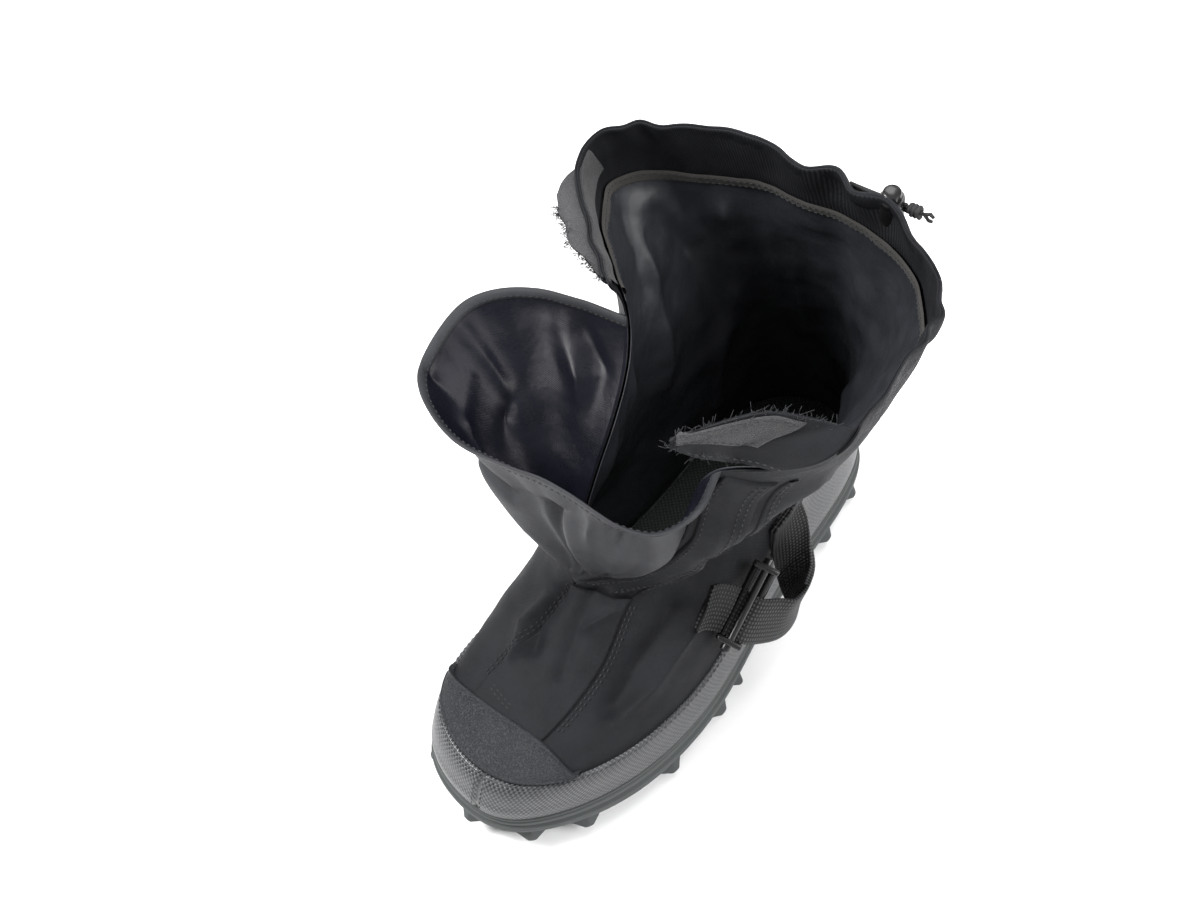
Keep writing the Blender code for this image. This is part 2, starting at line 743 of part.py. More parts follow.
def build_knot(finish, group):
    """The knot that keeps the lock on the cord."""
    before, end = in_shoe(CORD_ROUTE[-2:])
    along = (end - before) / np.linalg.norm(end - before)
    centre = end + along * (KNOT_LENGTH / 2 + CLEARANCE)
    place = frame_matrix(centre, (0, 0, 1), along)
    mesh = bpy.data.meshes.new("cord_knot")
    work = bmesh.new()
    bmesh.ops.create_uvsphere(
        work, u_segments=KNOT_FACES[0], v_segments=KNOT_FACES[1], radius=0.5,
        matrix=place @ Matrix.Diagonal((KNOT_WIDTH, KNOT_WIDTH, KNOT_LENGTH, 1.0)),
    )
    work.to_mesh(mesh)
    work.free()
    return add_object("cord_knot", mesh, finish, group, smooth_angle=80)


def build_lock(finish, group, cutters):
    """The cord lock: a barrel with a slot for the cord, and its button."""
    route = in_shoe(CORD_ROUTE)
    run = route[LOCK_STATION] - route[LOCK_STATION - 1]
    barrel_place = frame_matrix(in_shoe(LOCK_CENTRE), run, LOCK_AXIS)
    work = bmesh.new()
    bmesh.ops.create_cone(
        work, cap_ends=True, segments=LOCK_FACES, radius1=LOCK_WIDTH / 2, radius2=LOCK_WIDTH / 2,
        depth=LOCK_LENGTH, matrix=barrel_place,
    )
    mesh = bpy.data.meshes.new("cord_lock_barrel")
    work.to_mesh(mesh)
    work.free()
    barrel = add_object("cord_lock_barrel", mesh, finish, group)
    slot_mesh = bpy.data.meshes.new("lock_slot")
    slot = bmesh.new()
    slot_place = frame_matrix(route[LOCK_STATION], run, (0, 0, 1))
    wide = CORD_DIAMETER + 2 * LOCK_SLOT
    tall = CORD_DIAMETER + CORD_PITCH + 2 * LOCK_SLOT
    bmesh.ops.create_cube(
        slot, size=1.0, matrix=slot_place @ Matrix.Diagonal((2 * LOCK_WIDTH, wide, tall, 1.0))
    )
    slot.to_mesh(slot_mesh)
    slot.free()
    cutter = add_cutter("lock_slot", slot_mesh, cutters)
    add_boolean(barrel, "slot", "DIFFERENCE", cutter)

    lift = (LOCK_LENGTH + BUTTON_LENGTH) / 2 + CLEARANCE
    button_place = barrel_place @ Matrix.Translation((0, 0, lift))
    button = bmesh.new()
    bmesh.ops.create_cone(
        button, cap_ends=True, segments=LOCK_FACES, radius1=BUTTON_WIDTH / 2,
        radius2=BUTTON_WIDTH / 2 * BUTTON_TAPER, depth=BUTTON_LENGTH, matrix=button_place,
    )
    button_mesh = bpy.data.meshes.new("cord_lock_button")
    button.to_mesh(button_mesh)
    button.free()
    add_object("cord_lock_button", button_mesh, finish, group)


def build_slider(finish, group, cutters):
    """The strap's slider: two outer rods, a hidden bar and two end plates in one piece."""
    place = frame_matrix(in_shoe(SLIDER_CENTRE), SLIDER_RUN, SLIDER_AXIS)
    work = bmesh.new()
    mesh = bpy.data.meshes.new("strap_slider")
    side = STRAP_THICKNESS / 2 + CLEARANCE + SLIDER_ROD / 2
    rods = ((-SLIDER_PITCH, side), (SLIDER_PITCH, side), (0.0, -side))
    for x, y in rods:
        bmesh.ops.create_cone(
            work, cap_ends=True, segments=ROD_FACES, radius1=SLIDER_ROD / 2, radius2=SLIDER_ROD / 2,
            depth=SLIDER_LENGTH - SLIDER_END, matrix=place @ Matrix.Translation((x, y, 0)),
        )
    work.to_mesh(mesh)
    work.free()
    slider = add_object("strap_slider", mesh, finish, group)
    plates = bmesh.new()
    for sign in (-1, 1):
        bmesh.ops.create_cube(
            plates, size=1.0,
            matrix=place @ Matrix.Translation((0, 0, sign * (SLIDER_LENGTH - SLIDER_END) / 2))
            @ Matrix.Diagonal((2 * SLIDER_PITCH + SLIDER_ROD, 2 * side + SLIDER_ROD, SLIDER_END, 1)),
        )
    plate_mesh = bpy.data.meshes.new("slider_plates")
    plates.to_mesh(plate_mesh)
    plates.free()
    tool = add_cutter("slider_plates", plate_mesh, cutters)
    add_boolean(slider, "plates", "UNION", tool)


def rand_top(u):
    """Upper line of the rand as a ring number: low at the toe, high round the heel."""
    place = min(u % 1.0, 1 - u % 1.0)
    t = min(max((place - RAND_RISE_START) / (RAND_RISE_STOP - RAND_RISE_START), 0.0), 1.0)
    return RAND_FRONT + (RAND_HEEL - RAND_FRONT) * t * t * (3 - 2 * t)


def liner_line(u):
    """Middle line of the liner's binding as a ring number, lowest at the back of the inner side."""
    return LINER_HIGH - LINER_DIP * math.exp(-(((u - LINER_DIP_PLACE) / LINER_DIP_WIDTH) ** 2))


def cap_top(u):
    """Upper line of the toe cap as a ring number, meeting the rand at the cap's two corners."""
    corner = CAP_LATERAL if u >= 0 else CAP_MEDIAL
    share = min(abs(u) / corner, 1.0)
    return CAP_TOP + (RAND_FRONT + CAP_CORNER - CAP_TOP) * share**2


def panel_side(column, v):
    """Share of the way round at a side of the vamp panel, by table column and ring number."""
    low, high = PANEL_TABLE
    return low[column] + (high[column] - low[column]) * (v - low[0]) / (high[0] - low[0])


def build_overlays(group, nylon, tape, rubber, rand_finish):
    """Every piece that is cut from the upper's own surface."""
    outside, inside = OVERLAY_GAP, -(WALL + LINER_GAP)
    patch("rand", rand_finish, group, (0.0, 1.0), lambda u: RAND_LOW, rand_top, outside,
          RAND_THICKNESS)
    patch("toe_cap", rubber, group, (-CAP_MEDIAL, CAP_LATERAL), lambda u: RAND_FRONT + SEAM_RINGS,
          cap_top, outside, TOE_CAP_THICKNESS)
    patch("vamp_panel", nylon, group, PANEL_SPAN, lambda u: cap_top(u) + SEAM_RINGS,
          lambda u: PANEL_TOP, PANEL_GAP, PANEL_THICKNESS,
          left=lambda v: panel_side(1, v), right=lambda v: panel_side(2, v))
    patch("liner_binding", tape, group, BINDING_SPAN, lambda u: liner_line(u) - BINDING_HALF,
          lambda u: liner_line(u) + BINDING_HALF, inside, BINDING_THICKNESS)
    plain = (
        ("front_placket", nylon, FRONT_PLACKET, outside, PLACKET_THICKNESS),
        ("collar_hem", nylon, COLLAR_HEM, outside, HEM_THICKNESS),
        ("loop_strip", tape, LOOP_STRIP, inside, STRIP_THICKNESS),
    )
    for name, finish, (start, stop, low, high), lift, thickness in plain:
        patch(name, finish, group, (start, stop), lambda u, low=low: low,
              lambda u, high=high: high, lift, thickness)


def main():
    """Builds every piece."""
    clear_scene()
    group = collection("winter_overshoe")
    cutters = collection("cutters")
    nylon = material("black_nylon", (0.018, 0.018, 0.021), 0.75)
    coated = material("coated_nylon", (0.02, 0.019, 0.026), 0.35)
    webbing = material("black_webbing", (0.015, 0.015, 0.015), 0.7)
    tape = material("binding_tape", (0.06, 0.055, 0.05), 0.8)
    rubber = material("dark_grey_rubber", (0.045, 0.047, 0.048), 0.7)
    rand_finish = material("rand_rubber", (0.06, 0.06, 0.065), 0.45)
    felt = material("insole_felt", (0.03, 0.03, 0.03), 0.9)
    plastic = material("black_plastic", (0.01, 0.01, 0.01), 0.25)
    build_outsole(rubber, group, cutters)
    build_insole(felt, group)
    build_upper(nylon, group)
    build_overlays(group, nylon, tape, rubber, rand_finish)
    build_gusset(coated, group)
    build_strap("strap", webbing, group, STRAP_ROUTE, STRAP_STEPS)
    build_strap("strap_front", webbing, group, FRONT_LOOP, LOOP_STEPS)
    build_slider(plastic, group, cutters)
    build_flap(nylon, group)
    build_drawcord(webbing, group)
    build_lock(plastic, group, cutters)
    build_knot(webbing, group)


main()
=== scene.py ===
"""Winter overshoe for the left foot, dressed in its cloth, rubber, webbing and stitching.

Metres; the toe points to -Y, the outer side is +X and the floor is z = 0. A place on the upper is
a pair (u, v): u is the share of the way round from the slit's outer edge, v is the ring number.
"""

import logging
import math
from dataclasses import dataclass, field
from enum import Enum
from typing import Callable, Sequence

import bmesh
import bpy
import numpy as np
from mathutils import Matrix, Vector


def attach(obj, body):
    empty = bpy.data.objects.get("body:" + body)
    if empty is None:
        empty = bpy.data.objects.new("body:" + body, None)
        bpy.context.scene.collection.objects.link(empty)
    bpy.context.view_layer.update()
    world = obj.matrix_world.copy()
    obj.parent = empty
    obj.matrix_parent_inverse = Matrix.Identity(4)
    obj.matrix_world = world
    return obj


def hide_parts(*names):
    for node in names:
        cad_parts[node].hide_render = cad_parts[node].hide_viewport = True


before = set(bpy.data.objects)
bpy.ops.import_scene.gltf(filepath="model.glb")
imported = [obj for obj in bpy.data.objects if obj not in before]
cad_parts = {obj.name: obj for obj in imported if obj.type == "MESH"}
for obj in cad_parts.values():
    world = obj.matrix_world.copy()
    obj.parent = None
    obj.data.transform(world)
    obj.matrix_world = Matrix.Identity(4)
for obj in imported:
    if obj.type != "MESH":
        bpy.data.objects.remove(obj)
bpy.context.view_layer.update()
LOG = logging.getLogger("winter_overshoe")
Points = np.ndarray
Place = Callable[[np.ndarray, np.ndarray], np.ndarray]


# Sizes of the shoe
OUTSOLE_LENGTH = 0.330
BALL_WIDTH = 0.119
COLLAR_HEIGHT = 0.268
SOLE_TOP = 0.029
TREAD_DEPTH = 0.009
CLEARANCE = 0.0003
MERGE = 1e-6
UPPER_INSET = 0.0025
THROAT_RING = 5
RIM_RING = 9
SOLE_OUTLINE = (
    (0.270, 0.365), (0.475, 0.470), (0.525, 0.445), (0.428, 0.370), (0.378, 0.378), (0.270, 0.280),
)
RING_COLUMNS = (
    "front_x", "front_y", "front_z", "back_y", "back_z", "foot",
    "lat_a", "lat_b", "lat_c", "lat_d", "med_a", "med_b", "med_c", "med_d",
    "slit_lat", "slit_med",
)
SIDE_LUGS = (
    # turn round the outline from the toe through the outer side, share of the full size
    (-.010, .95), (.058, .95), (.106, 1.0), (.173, 1.0), (.218, 1.0), (.238, .70), (.264, 1.0),
    (.306, 1.0), (.348, 1.0), (.394, .95), (.453, .90), (.510, .90), (.560, .90), (.606, .95),
    (.652, 1.0), (.694, 1.0), (.736, 1.0), (.762, .70), (.782, 1.0), (.827, 1.0), (.880, 1.0),
    (.923, .95),
)
RINGS = (
    (0.00, -0.492, 0.000, 0.492, 0.000, 1.00, .38, .48, .36, .28, .40, .44, .35, .31, 0, 0),
    (0.00, -0.490, 0.034, 0.492, 0.034, 0.98, .38, .48, .36, .28, .40, .44, .35, .31, 0, 0),
    (0.00, -0.464, 0.094, 0.492, 0.105, 0.60, .37, .47, .35, .28, .41, .44, .35, .30, 0, 0),
    (0.00, -0.366, 0.140, 0.490, 0.200, 0.10, .37, .46, .36, .28, .39, .43, .35, .30, 0, 0),
    (-.03, -0.270, 0.205, 0.484, 0.285, 0.00, .35, .43, .39, .29, .35, .40, .36, .29, 0, 0),
    (-.09, -0.184, 0.298, 0.474, 0.365, 0.00, .31, .41, .43, .31, .25, .36, .36, .29, 0, 0),
    (-.03, -0.176, 0.420, 0.454, 0.490, 0.00, .37, .50, .55, .37, .15, .33, .42, .32, 20, 22),
    (0.00, -0.172, 0.590, 0.430, 0.640, 0.00, .49, .68, .70, .46, .12, .27, .54, .40, 28, 48),
    (0.00, -0.136, 0.800, 0.400, 0.815, 0.00, .57, .87, .87, .59, .10, .24, .71, .53, 32, 74),
    (0.00, -0.182, 0.985, 0.368, 0.980, 0.00, .81, .95, .96, .69, .07, .23, .75, .57, 68, 72),
)


@dataclass(frozen=True)
class Crease:
    """One fold line in the cloth.

    Args:
        points: the line's points in metres.
        width: how far the fold reaches on each side.
        height: how far it stands out, or sinks in where negative.
        sharp: 0 for a soft roll and 1 for a sharp edge.
    """

    points: tuple
    width: float
    height: float
    sharp: float = 0.0

    def rise(self, places: Points) -> np.ndarray:
        """Reads the fold's height at each place."""
        line = np.array(self.points, float) / 1000.0
        nearest = np.full(len(places), 9.0)
        for a, b in zip(line, line[1:]):
            along = b - a
            share = np.clip((places - a) @ along / (along @ along), 0, 1)
            apart = np.linalg.norm(places - a - share[:, None] * along, axis=1)
            nearest = np.minimum(nearest, apart)
        q = nearest / self.width
        soft = np.exp(-(q**2))
        edge = np.exp(-1.6 * q)
        return self.height * ((1 - self.sharp) * soft + self.sharp * edge)


class ClothNoise:
    """Smooth, repeatable noise in space for the small unevenness of cloth."""

    def __init__(self, seed: int) -> None:
        """Draws the lattice of values once, from a fixed seed."""
        self.lattice = np.random.default_rng(seed).random((32, 32, 32))

    def __call__(self, places: Points, size: float) -> np.ndarray:
        """Reads the noise, from -1 to 1, at a wavelength in metres."""
        q = places / size + 100.0
        cell = np.floor(q).astype(int)
        f = q - cell
        f = f * f * f * (f * (6 * f - 15) + 10)
        total = np.zeros(len(places))
        for corner in range(8):
            step = np.array([corner & 1, corner >> 1 & 1, corner >> 2 & 1])
            weight = np.prod(np.where(step, f, 1 - f), axis=1)
            index = (cell + step) % 32
            total += weight * self.lattice[index[:, 0], index[:, 1], index[:, 2]]
        return 2 * total - 1


NOISE = ClothNoise(7)


def smooth_rows(table: Sequence, place: np.ndarray) -> np.ndarray:
    """Reads a table at fractional row numbers, on a Catmull-Rom curve.

    Args:
        table: rows of numbers.
        place: the row numbers to read at.

    Returns:
        One row for each place.
    """
    rows = np.asarray(table, float)
    last = len(rows) - 1
    place = np.clip(np.asarray(place, float), 0.0, float(last))
    low = np.minimum(place.astype(int), last - 1)
    t = (place - low)[:, None]
    a, b = rows[low], rows[low + 1]
    before = np.where((low > 0)[:, None], rows[np.maximum(low - 1, 0)], 2 * a - b)
    after = np.where((low + 2 <= last)[:, None], rows[np.minimum(low + 2, last)], 2 * b - a)
    slope_a, slope_b = (b - before) / 2, (after - a) / 2
    return (
        (2 * t**3 - 3 * t**2 + 1) * a + (t**3 - 2 * t**2 + t) * slope_a
        + (3 * t**2 - 2 * t**3) * b + (t**3 - t**2) * slope_b
    )


def spline_weights(turns: np.ndarray, count: int) -> np.ndarray:
    """Weights of a closed spline's even knots at turns from 0 to 1.

    Args:
        turns: places round the closed curve.
        count: how many knots it has.

    Returns:
        One row of weights for each turn.
    """
    system = 4 * np.eye(count) + np.roll(np.eye(count), 1, 0) + np.roll(np.eye(count), -1, 0)
    second = np.roll(np.eye(count), 1, 0) - 2 * np.eye(count) + np.roll(np.eye(count), -1, 0)
    bend = np.linalg.solve(system, 6 * second)
    place = (np.asarray(turns, float) % 1.0) * count
    low = np.floor(place).astype(int) % count
    high = (low + 1) % count
    t = (place - np.floor(place))[:, None]
    knots = np.eye(count)
    return (
        knots[low] * (1 - t) + knots[high] * t
        + ((1 - t) ** 3 - (1 - t)) * bend[low] / 6 + (t**3 - t) * bend[high] / 6
    )


def travel(points: Points) -> float:
    """The length of a line through points."""
    return float(np.linalg.norm(np.diff(points, axis=0), axis=1).sum())


def unit(vectors: np.ndarray) -> np.ndarray:
    """Scales each row to length one."""
    return vectors / np.maximum(np.linalg.norm(vectors, axis=-1, keepdims=True), 1e-12)


class SoleForm:
    """The outsole's outline in plan and its floor line."""

    toe_spring = 0.006
    toe_start = -0.27
    arch_rise = 0.005
    arch_place = 0.06
    arch_reach = 0.15

    def half_width(self, turns: np.ndarray) -> np.ndarray:
        """Signed half width at turns round the outline, from the toe through the outer side."""
        table = np.array(SOLE_OUTLINE)
        values = np.array([0.0, *table[:, 0], 0.0, *(-table[::-1, 1])])
        return spline_weights(turns, len(values)) @ values * BALL_WIDTH

    def outline(self, turns: np.ndarray, inset: np.ndarray | float = 0.0) -> np.ndarray:
        """Points of the outline in plan, moved inwards by inset."""
        turns = np.asarray(turns, float)

        def plain(turn: np.ndarray) -> np.ndarray:
            """The outline itself."""
            y = -0.5 * OUTSOLE_LENGTH * np.cos(2 * math.pi * turn)
            return np.stack([self.half_width(turn), y], axis=1)

        along = unit(plain(turns + 0.002) - plain(turns - 0.002))
        inward = np.stack([-along[:, 1], along[:, 0]], axis=1)
        return plain(turns) + inward * np.reshape(inset, (-1, 1))

    def floor(self, y: np.ndarray) -> np.ndarray:
        """Height of the lug bottoms over the floor along the foot."""
        share = np.asarray(y, float) / OUTSOLE_LENGTH
        toe = np.maximum(0.0, (self.toe_start - share) / (0.5 + self.toe_start))
        arch = np.maximum(0.0, 1 - ((share - self.arch_place) / self.arch_reach) ** 2)
        return self.toe_spring * toe**1.6 + self.arch_rise * arch**2


SOLE = SoleForm()


class UpperForm:
    """The upper's surface with its folds. Every overlay, seam and stitch is read from it."""

    creases = (
        Crease(((37.6, -39.2, 92.8), (37.1, -69.6, 79), (38.1, -92.1, 68)), .0085, -.0075, .3),
        Crease(((48, -42, 81), (47, -73.6, 70), (42.3, -98, 63.8)), .0042, .0050, .6),
        Crease(((-22.1, -69.3, 89.6), (-28, -83.4, 78.1), (-23.5, -98, 72)), .0045, .0050, .6),
        Crease(((-16, -66, 93), (-19, -80, 82), (-16, -92, 76)), .0060, -.0050, .3),
        Crease(((9.7, -54.1, 107.3), (14.3, -58.5, 96.3), (4.8, -72.1, 88)), .0036, .0032, .7),
        Crease(((0, -60, 101), (2, -78, 86), (6, -96, 75)), .0045, -.0030, .4),
        Crease(((91, 0, 204), (76, -20, 188), (58, -34, 166)), .0090, .0040, .3),
        Crease(((62, -22, 165), (54, -26, 135), (46, -20, 108)), .0110, -.0055, .2),
        Crease(((50, -34, 143), (46, -30, 122), (38, -40, 104)), .0060, .0028, .5),
        Crease(((84, 22, 178), (66, 6, 140), (52, -4, 108)), .0090, .0040, .4),
        Crease(((70, 40, 150), (56, 26, 118), (50, 6, 98)), .0080, -.0035, .2),
        Crease(((78, 62, 175), (60, 60, 135), (50, 45, 108)), .0100, .0032, .3),
        Crease(((60, 95, 190), (50, 104, 150), (42, 110, 118)), .0110, -.0030, .2),
        Crease(((20, 138, 200), (18, 150, 160), (12, 156, 120)), .0120, .0030, .2),
        Crease(((-24, 135, 190), (-26, 146, 150), (-26, 150, 116)), .0090, -.0026, .3),
        Crease(((-66, 100, 200), (-56, 108, 165), (-44, 112, 130)), .0100, .0032, .4),
        Crease(((-84, 58, 225), (-66, 60, 180), (-48, 70, 130)), .0110, -.0036, .2),
        Crease(((-74, 30, 210), (-52, 26, 165), (-38, 30, 120)), .0080, .0034, .5),
        Crease(((-36, 8, 170), (-30, -2, 140), (-34, -12, 112)), .0060, -.0026, .4),
        Crease(((-40, 40, 118), (-42, 6, 104), (-38, -30, 92)), .0060, .0018, .5),
        Crease(((44, 60, 118), (46, 20, 100), (44, -20, 88)), .0070, .0020, .4),
    )
    gathers = 0.0024

    def base(self, u: np.ndarray, v: np.ndarray) -> Points:
        """The smooth surface without folds."""
        u, v = np.asarray(u, float), np.asarray(v, float)
        rows = smooth_rows(RINGS, v)
        row = dict(zip(RING_COLUMNS, rows.T))
        open_front = v > THROAT_RING
        slit_lat = np.where(open_front, np.maximum(row["slit_lat"], 0), 0) / 360
        slit_med = np.where(open_front, np.maximum(row["slit_med"], 0), 0) / 360
        turn = np.where(
            u <= 0.5, slit_lat + (0.5 - slit_lat) * u / 0.5,
            0.5 + (0.5 - slit_med) * (u - 0.5) / 0.5,
        )
        zero = np.zeros(len(u))
        values = np.stack(
            [zero, *[row[f"lat_{k}"] for k in "abcd"], zero, *[-row[f"med_{k}"] for k in "dcba"]], 1
        )
        shaft_x = (spline_weights(turn, values.shape[1]) * values).sum(1) * BALL_WIDTH
        foot = np.clip(row["foot"], 0, 1)
        foot_x = SOLE.outline(turn, UPPER_INSET)[:, 0]
        share = (1 - np.cos(2 * math.pi * turn)) / 2
        y = (row["front_y"] + (row["back_y"] - row["front_y"]) * share) * OUTSOLE_LENGTH
        rise = COLLAR_HEIGHT - SOLE_TOP - CLEARANCE
        level = row["front_z"] + (row["back_z"] - row["front_z"]) * share
        z = SOLE_TOP + CLEARANCE + rise * level
        x = foot * foot_x + (1 - foot) * shaft_x + row["front_x"] * BALL_WIDTH * (1 - share) ** 3
        return np.stack([x, y, z], 1)

    def normal(self, u: np.ndarray, v: np.ndarray) -> Points:
        """The outward direction of the smooth surface."""
        u, v = np.asarray(u, float), np.asarray(v, float)
        closed = v <= THROAT_RING
        u0 = np.where(closed, (u - 0.004) % 1.0, np.maximum(u - 0.004, 0))
        u1 = np.where(closed, (u + 0.004) % 1.0, np.minimum(u + 0.004, 1))
        v0, v1 = np.maximum(v - 0.04, 0), np.minimum(v + 0.04, RIM_RING)
        around = self.base(u1, v) - self.base(u0, v)
        return unit(np.cross(around, self.base(u, v1) - self.base(u, v0)))

    def fold(self, places: Points, u: np.ndarray, v: np.ndarray) -> np.ndarray:
        """Height of every fold at places on the smooth surface."""
        loose = np.clip((v - 2.2) / 1.2, 0, 1)
        total = sum(crease.rise(places) for crease in self.creases)
        stretch = places * np.array([1.0, 1.0, 0.45])
        total = total + 0.0015 * NOISE(stretch, 0.026) + 0.0005 * NOISE(places, 0.010)
        total = total + 0.0030 * NOISE(stretch, 0.055) * np.clip((v - 4.5) / 1.5, 0, 1)
        rim = np.clip((v - 8.35) / 0.5, 0, 1)
        pleats = np.sin(2 * math.pi * 9 * u + 2.6 * np.sin(2 * math.pi * 4 * u + 1.0))
        pleats = pleats + 0.7 * NOISE(places + 2.0, 0.017)
        near_lock = np.exp(-(((u - 0.42) / 0.16) ** 2)) + 0.45
        total = total + self.gathers * rim * pleats * near_lock
        slit = np.clip(np.minimum(u, 1 - u) / 0.03, 0.25, 1)
        return total * loose * np.where(v > THROAT_RING, slit, 1.0)

    def point(self, u: np.ndarray, v: np.ndarray, lift: np.ndarray | float = 0.0) -> Points:
        """Places on the folded surface, lifted off it by a distance."""
        u, v = np.broadcast_arrays(np.asarray(u, float), np.asarray(v, float))
        around = np.where(v <= THROAT_RING, u % 1.0, np.clip(u, 0, 1))
        around = np.where((v <= THROAT_RING) & (u == 1.0), 1.0, around)
        places = self.base(around, v)
        height = self.fold(places, around, v) + lift
        return places + self.normal(around, v) * np.reshape(height, (-1, 1))


FORM = UpperForm()


# Lines that the overlays share
def rand_top(u: np.ndarray) -> np.ndarray:
    """Ring number of the rand's upper line: low at the toe, high round the heel."""
    place = np.minimum(u % 1.0, 1 - u % 1.0)
    t = np.clip((place - 0.20) / 0.18, 0, 1)
    return 2.0 + 1.9 * t * t * (3 - 2 * t)


def cap_top(u: np.ndarray) -> np.ndarray:
    """Ring number of the toe cap's upper line, which meets the rand at its two corners."""
    share = np.minimum(np.abs(u) / np.where(u >= 0, 0.085, 0.105), 1.0)
    return 2.86 - 0.74 * share**2


def liner_line(u: np.ndarray) -> np.ndarray:
    """Ring number of the liner's top edge, lowest at the back of the inner side."""
    return 8.28 - 0.30 * np.exp(-(((u - 0.66) / 0.20) ** 2))


def panel_outer(v: np.ndarray) -> np.ndarray:
    """Share of the way round of the vamp panel's outer seam."""
    return 0.035 + 0.035 * (v - 3) / 2


def panel_inner(v: np.ndarray) -> np.ndarray:
    """Share of the way round of the vamp panel's inner seam."""
    return -0.055 + 0.052 * np.clip((v - 3) / 2, 0, 1) ** 1.3


# Shader helpers
class Recipe:
    """Writes the nodes of one shader tree in short steps."""

    def __init__(self, tree: bpy.types.NodeTree) -> None:
        """Keeps the tree that is written to."""
        self.tree = tree

    def add(self, kind: str, **sockets: object) -> bpy.types.Node:
        """Adds a node. Socket names use underscores for spaces, and a socket value links."""
        node = self.tree.nodes.new(kind)
        for name, value in sockets.items():
            self.put(node.inputs[name.replace("_", " ")], value)
        return node

    def put(self, target: bpy.types.NodeSocket, value: object) -> None:
        """Links a socket to an input, or sets the input's own value."""
        if isinstance(value, bpy.types.NodeSocket):
            self.tree.links.new(value, target)
        else:
            target.default_value = value

    def math(self, operation: str, *values: object) -> bpy.types.NodeSocket:
        """Adds a Math node and returns its output."""
        node = self.tree.nodes.new("ShaderNodeMath")
        node.operation = operation
        for target, value in zip(node.inputs, values):
            self.put(target, value)
        return node.outputs[0]

    def noise(self, vector: object, scale: object, detail: float = 3.0) -> bpy.types.NodeSocket:
        """Adds a noise texture and returns its value."""
        return self.add("ShaderNodeTexNoise", Vector=vector, Scale=scale, Detail=detail).outputs[0]

    def spread(self, value: object, low: float, high: float) -> bpy.types.NodeSocket:
        """Maps low..high to 0..1, held at both ends."""
        node = self.add("ShaderNodeMapRange", Value=value, From_Min=low, From_Max=high)
        return node.outputs[0]

    def mix(self, share: object, first: object, second: object) -> bpy.types.NodeSocket:
        """Mixes two colours and returns the result."""
        node = self.tree.nodes.new("ShaderNodeMix")
        node.data_type = "RGBA"
        for index, value in ((0, share), (6, first), (7, second)):
            self.put(node.inputs[index], value)
        return node.outputs[2]


def group_tree(name: str, inputs: dict, outputs: Sequence[str]) -> tuple:
    """Starts a shader node group with named sockets.

    Args:
        name: the group's name.
        inputs: socket name to its type and default value.
        outputs: names of its value outputs.

    Returns:
        The group, its recipe, its input node and its output node.
    """
    tree = bpy.data.node_groups.new(name, "ShaderNodeTree")
    for label, (kind, value) in inputs.items():
        made = tree.interface.new_socket(label, in_out="INPUT", socket_type=kind)
        if value is not None:
            made.default_value = value
    for label in outputs:
        tree.interface.new_socket(label, in_out="OUTPUT", socket_type="NodeSocketFloat")
    recipe = Recipe(tree)
    return tree, recipe, recipe.add("NodeGroupInput"), recipe.add("NodeGroupOutput")


def weave_group() -> bpy.types.NodeTree:
    """Crossed threads on a UV map in metres, with uneven dye."""
    tree, r, source, target = group_tree(
        "cloth_weave",
        {"Vector": ("NodeSocketVector", None), "Pitch": ("NodeSocketFloat", 0.0006),
         "Slant": ("NodeSocketFloat", 0.0)},
        ("Height", "Shade"),
    )
    axes = r.add("ShaderNodeSeparateXYZ", Vector=source.outputs["Vector"])
    slanted = r.math("MULTIPLY_ADD", axes.outputs[1], source.outputs["Slant"], axes.outputs[0])
    rate = r.math("DIVIDE", 2 * math.pi, source.outputs["Pitch"])
    warp = r.math("SINE", r.math("MULTIPLY", slanted, rate))
    weft = r.math("SINE", r.math("MULTIPLY", axes.outputs[1], rate))
    over = r.math("MAXIMUM", r.math("MULTIPLY", warp, weft), -0.4)
    r.put(target.inputs["Height"], r.spread(over, -0.4, 1.0))
    wide = r.noise(source.outputs["Vector"], 55.0, 4.0)
    fine = r.noise(source.outputs["Vector"], 900.0, 2.0)
    r.put(target.inputs["Shade"],
          r.math("MULTIPLY_ADD", fine, 0.35, r.math("MULTIPLY", wide, 0.65)))
    return tree


def scale_group() -> bpy.types.NodeTree:
    """Staggered raised scales on a UV map in metres."""
    tree, r, source, target = group_tree(
        "scale_relief",
        {"Vector": ("NodeSocketVector", None), "Pitch Along": ("NodeSocketFloat", 0.003),
         "Pitch Up": ("NodeSocketFloat", 0.0024)},
        ("Height", "Shade"),
    )
    axes = r.add("ShaderNodeSeparateXYZ", Vector=source.outputs["Vector"])
    turn = 2 * math.pi
    along = r.math("DIVIDE", r.math("MULTIPLY", axes.outputs[0], turn),
                   source.outputs["Pitch Along"])
    up = r.math("DIVIDE", r.math("MULTIPLY", axes.outputs[1], turn), source.outputs["Pitch Up"])
    crossed = r.math("MULTIPLY", r.math("COSINE", along), r.math("COSINE", up))
    height = r.math("POWER", r.spread(crossed, -0.15, 0.75), 0.6)
    r.put(target.inputs["Height"], height)
    r.put(target.inputs["Shade"], r.noise(source.outputs["Vector"], 130.0, 5.0))
    return tree


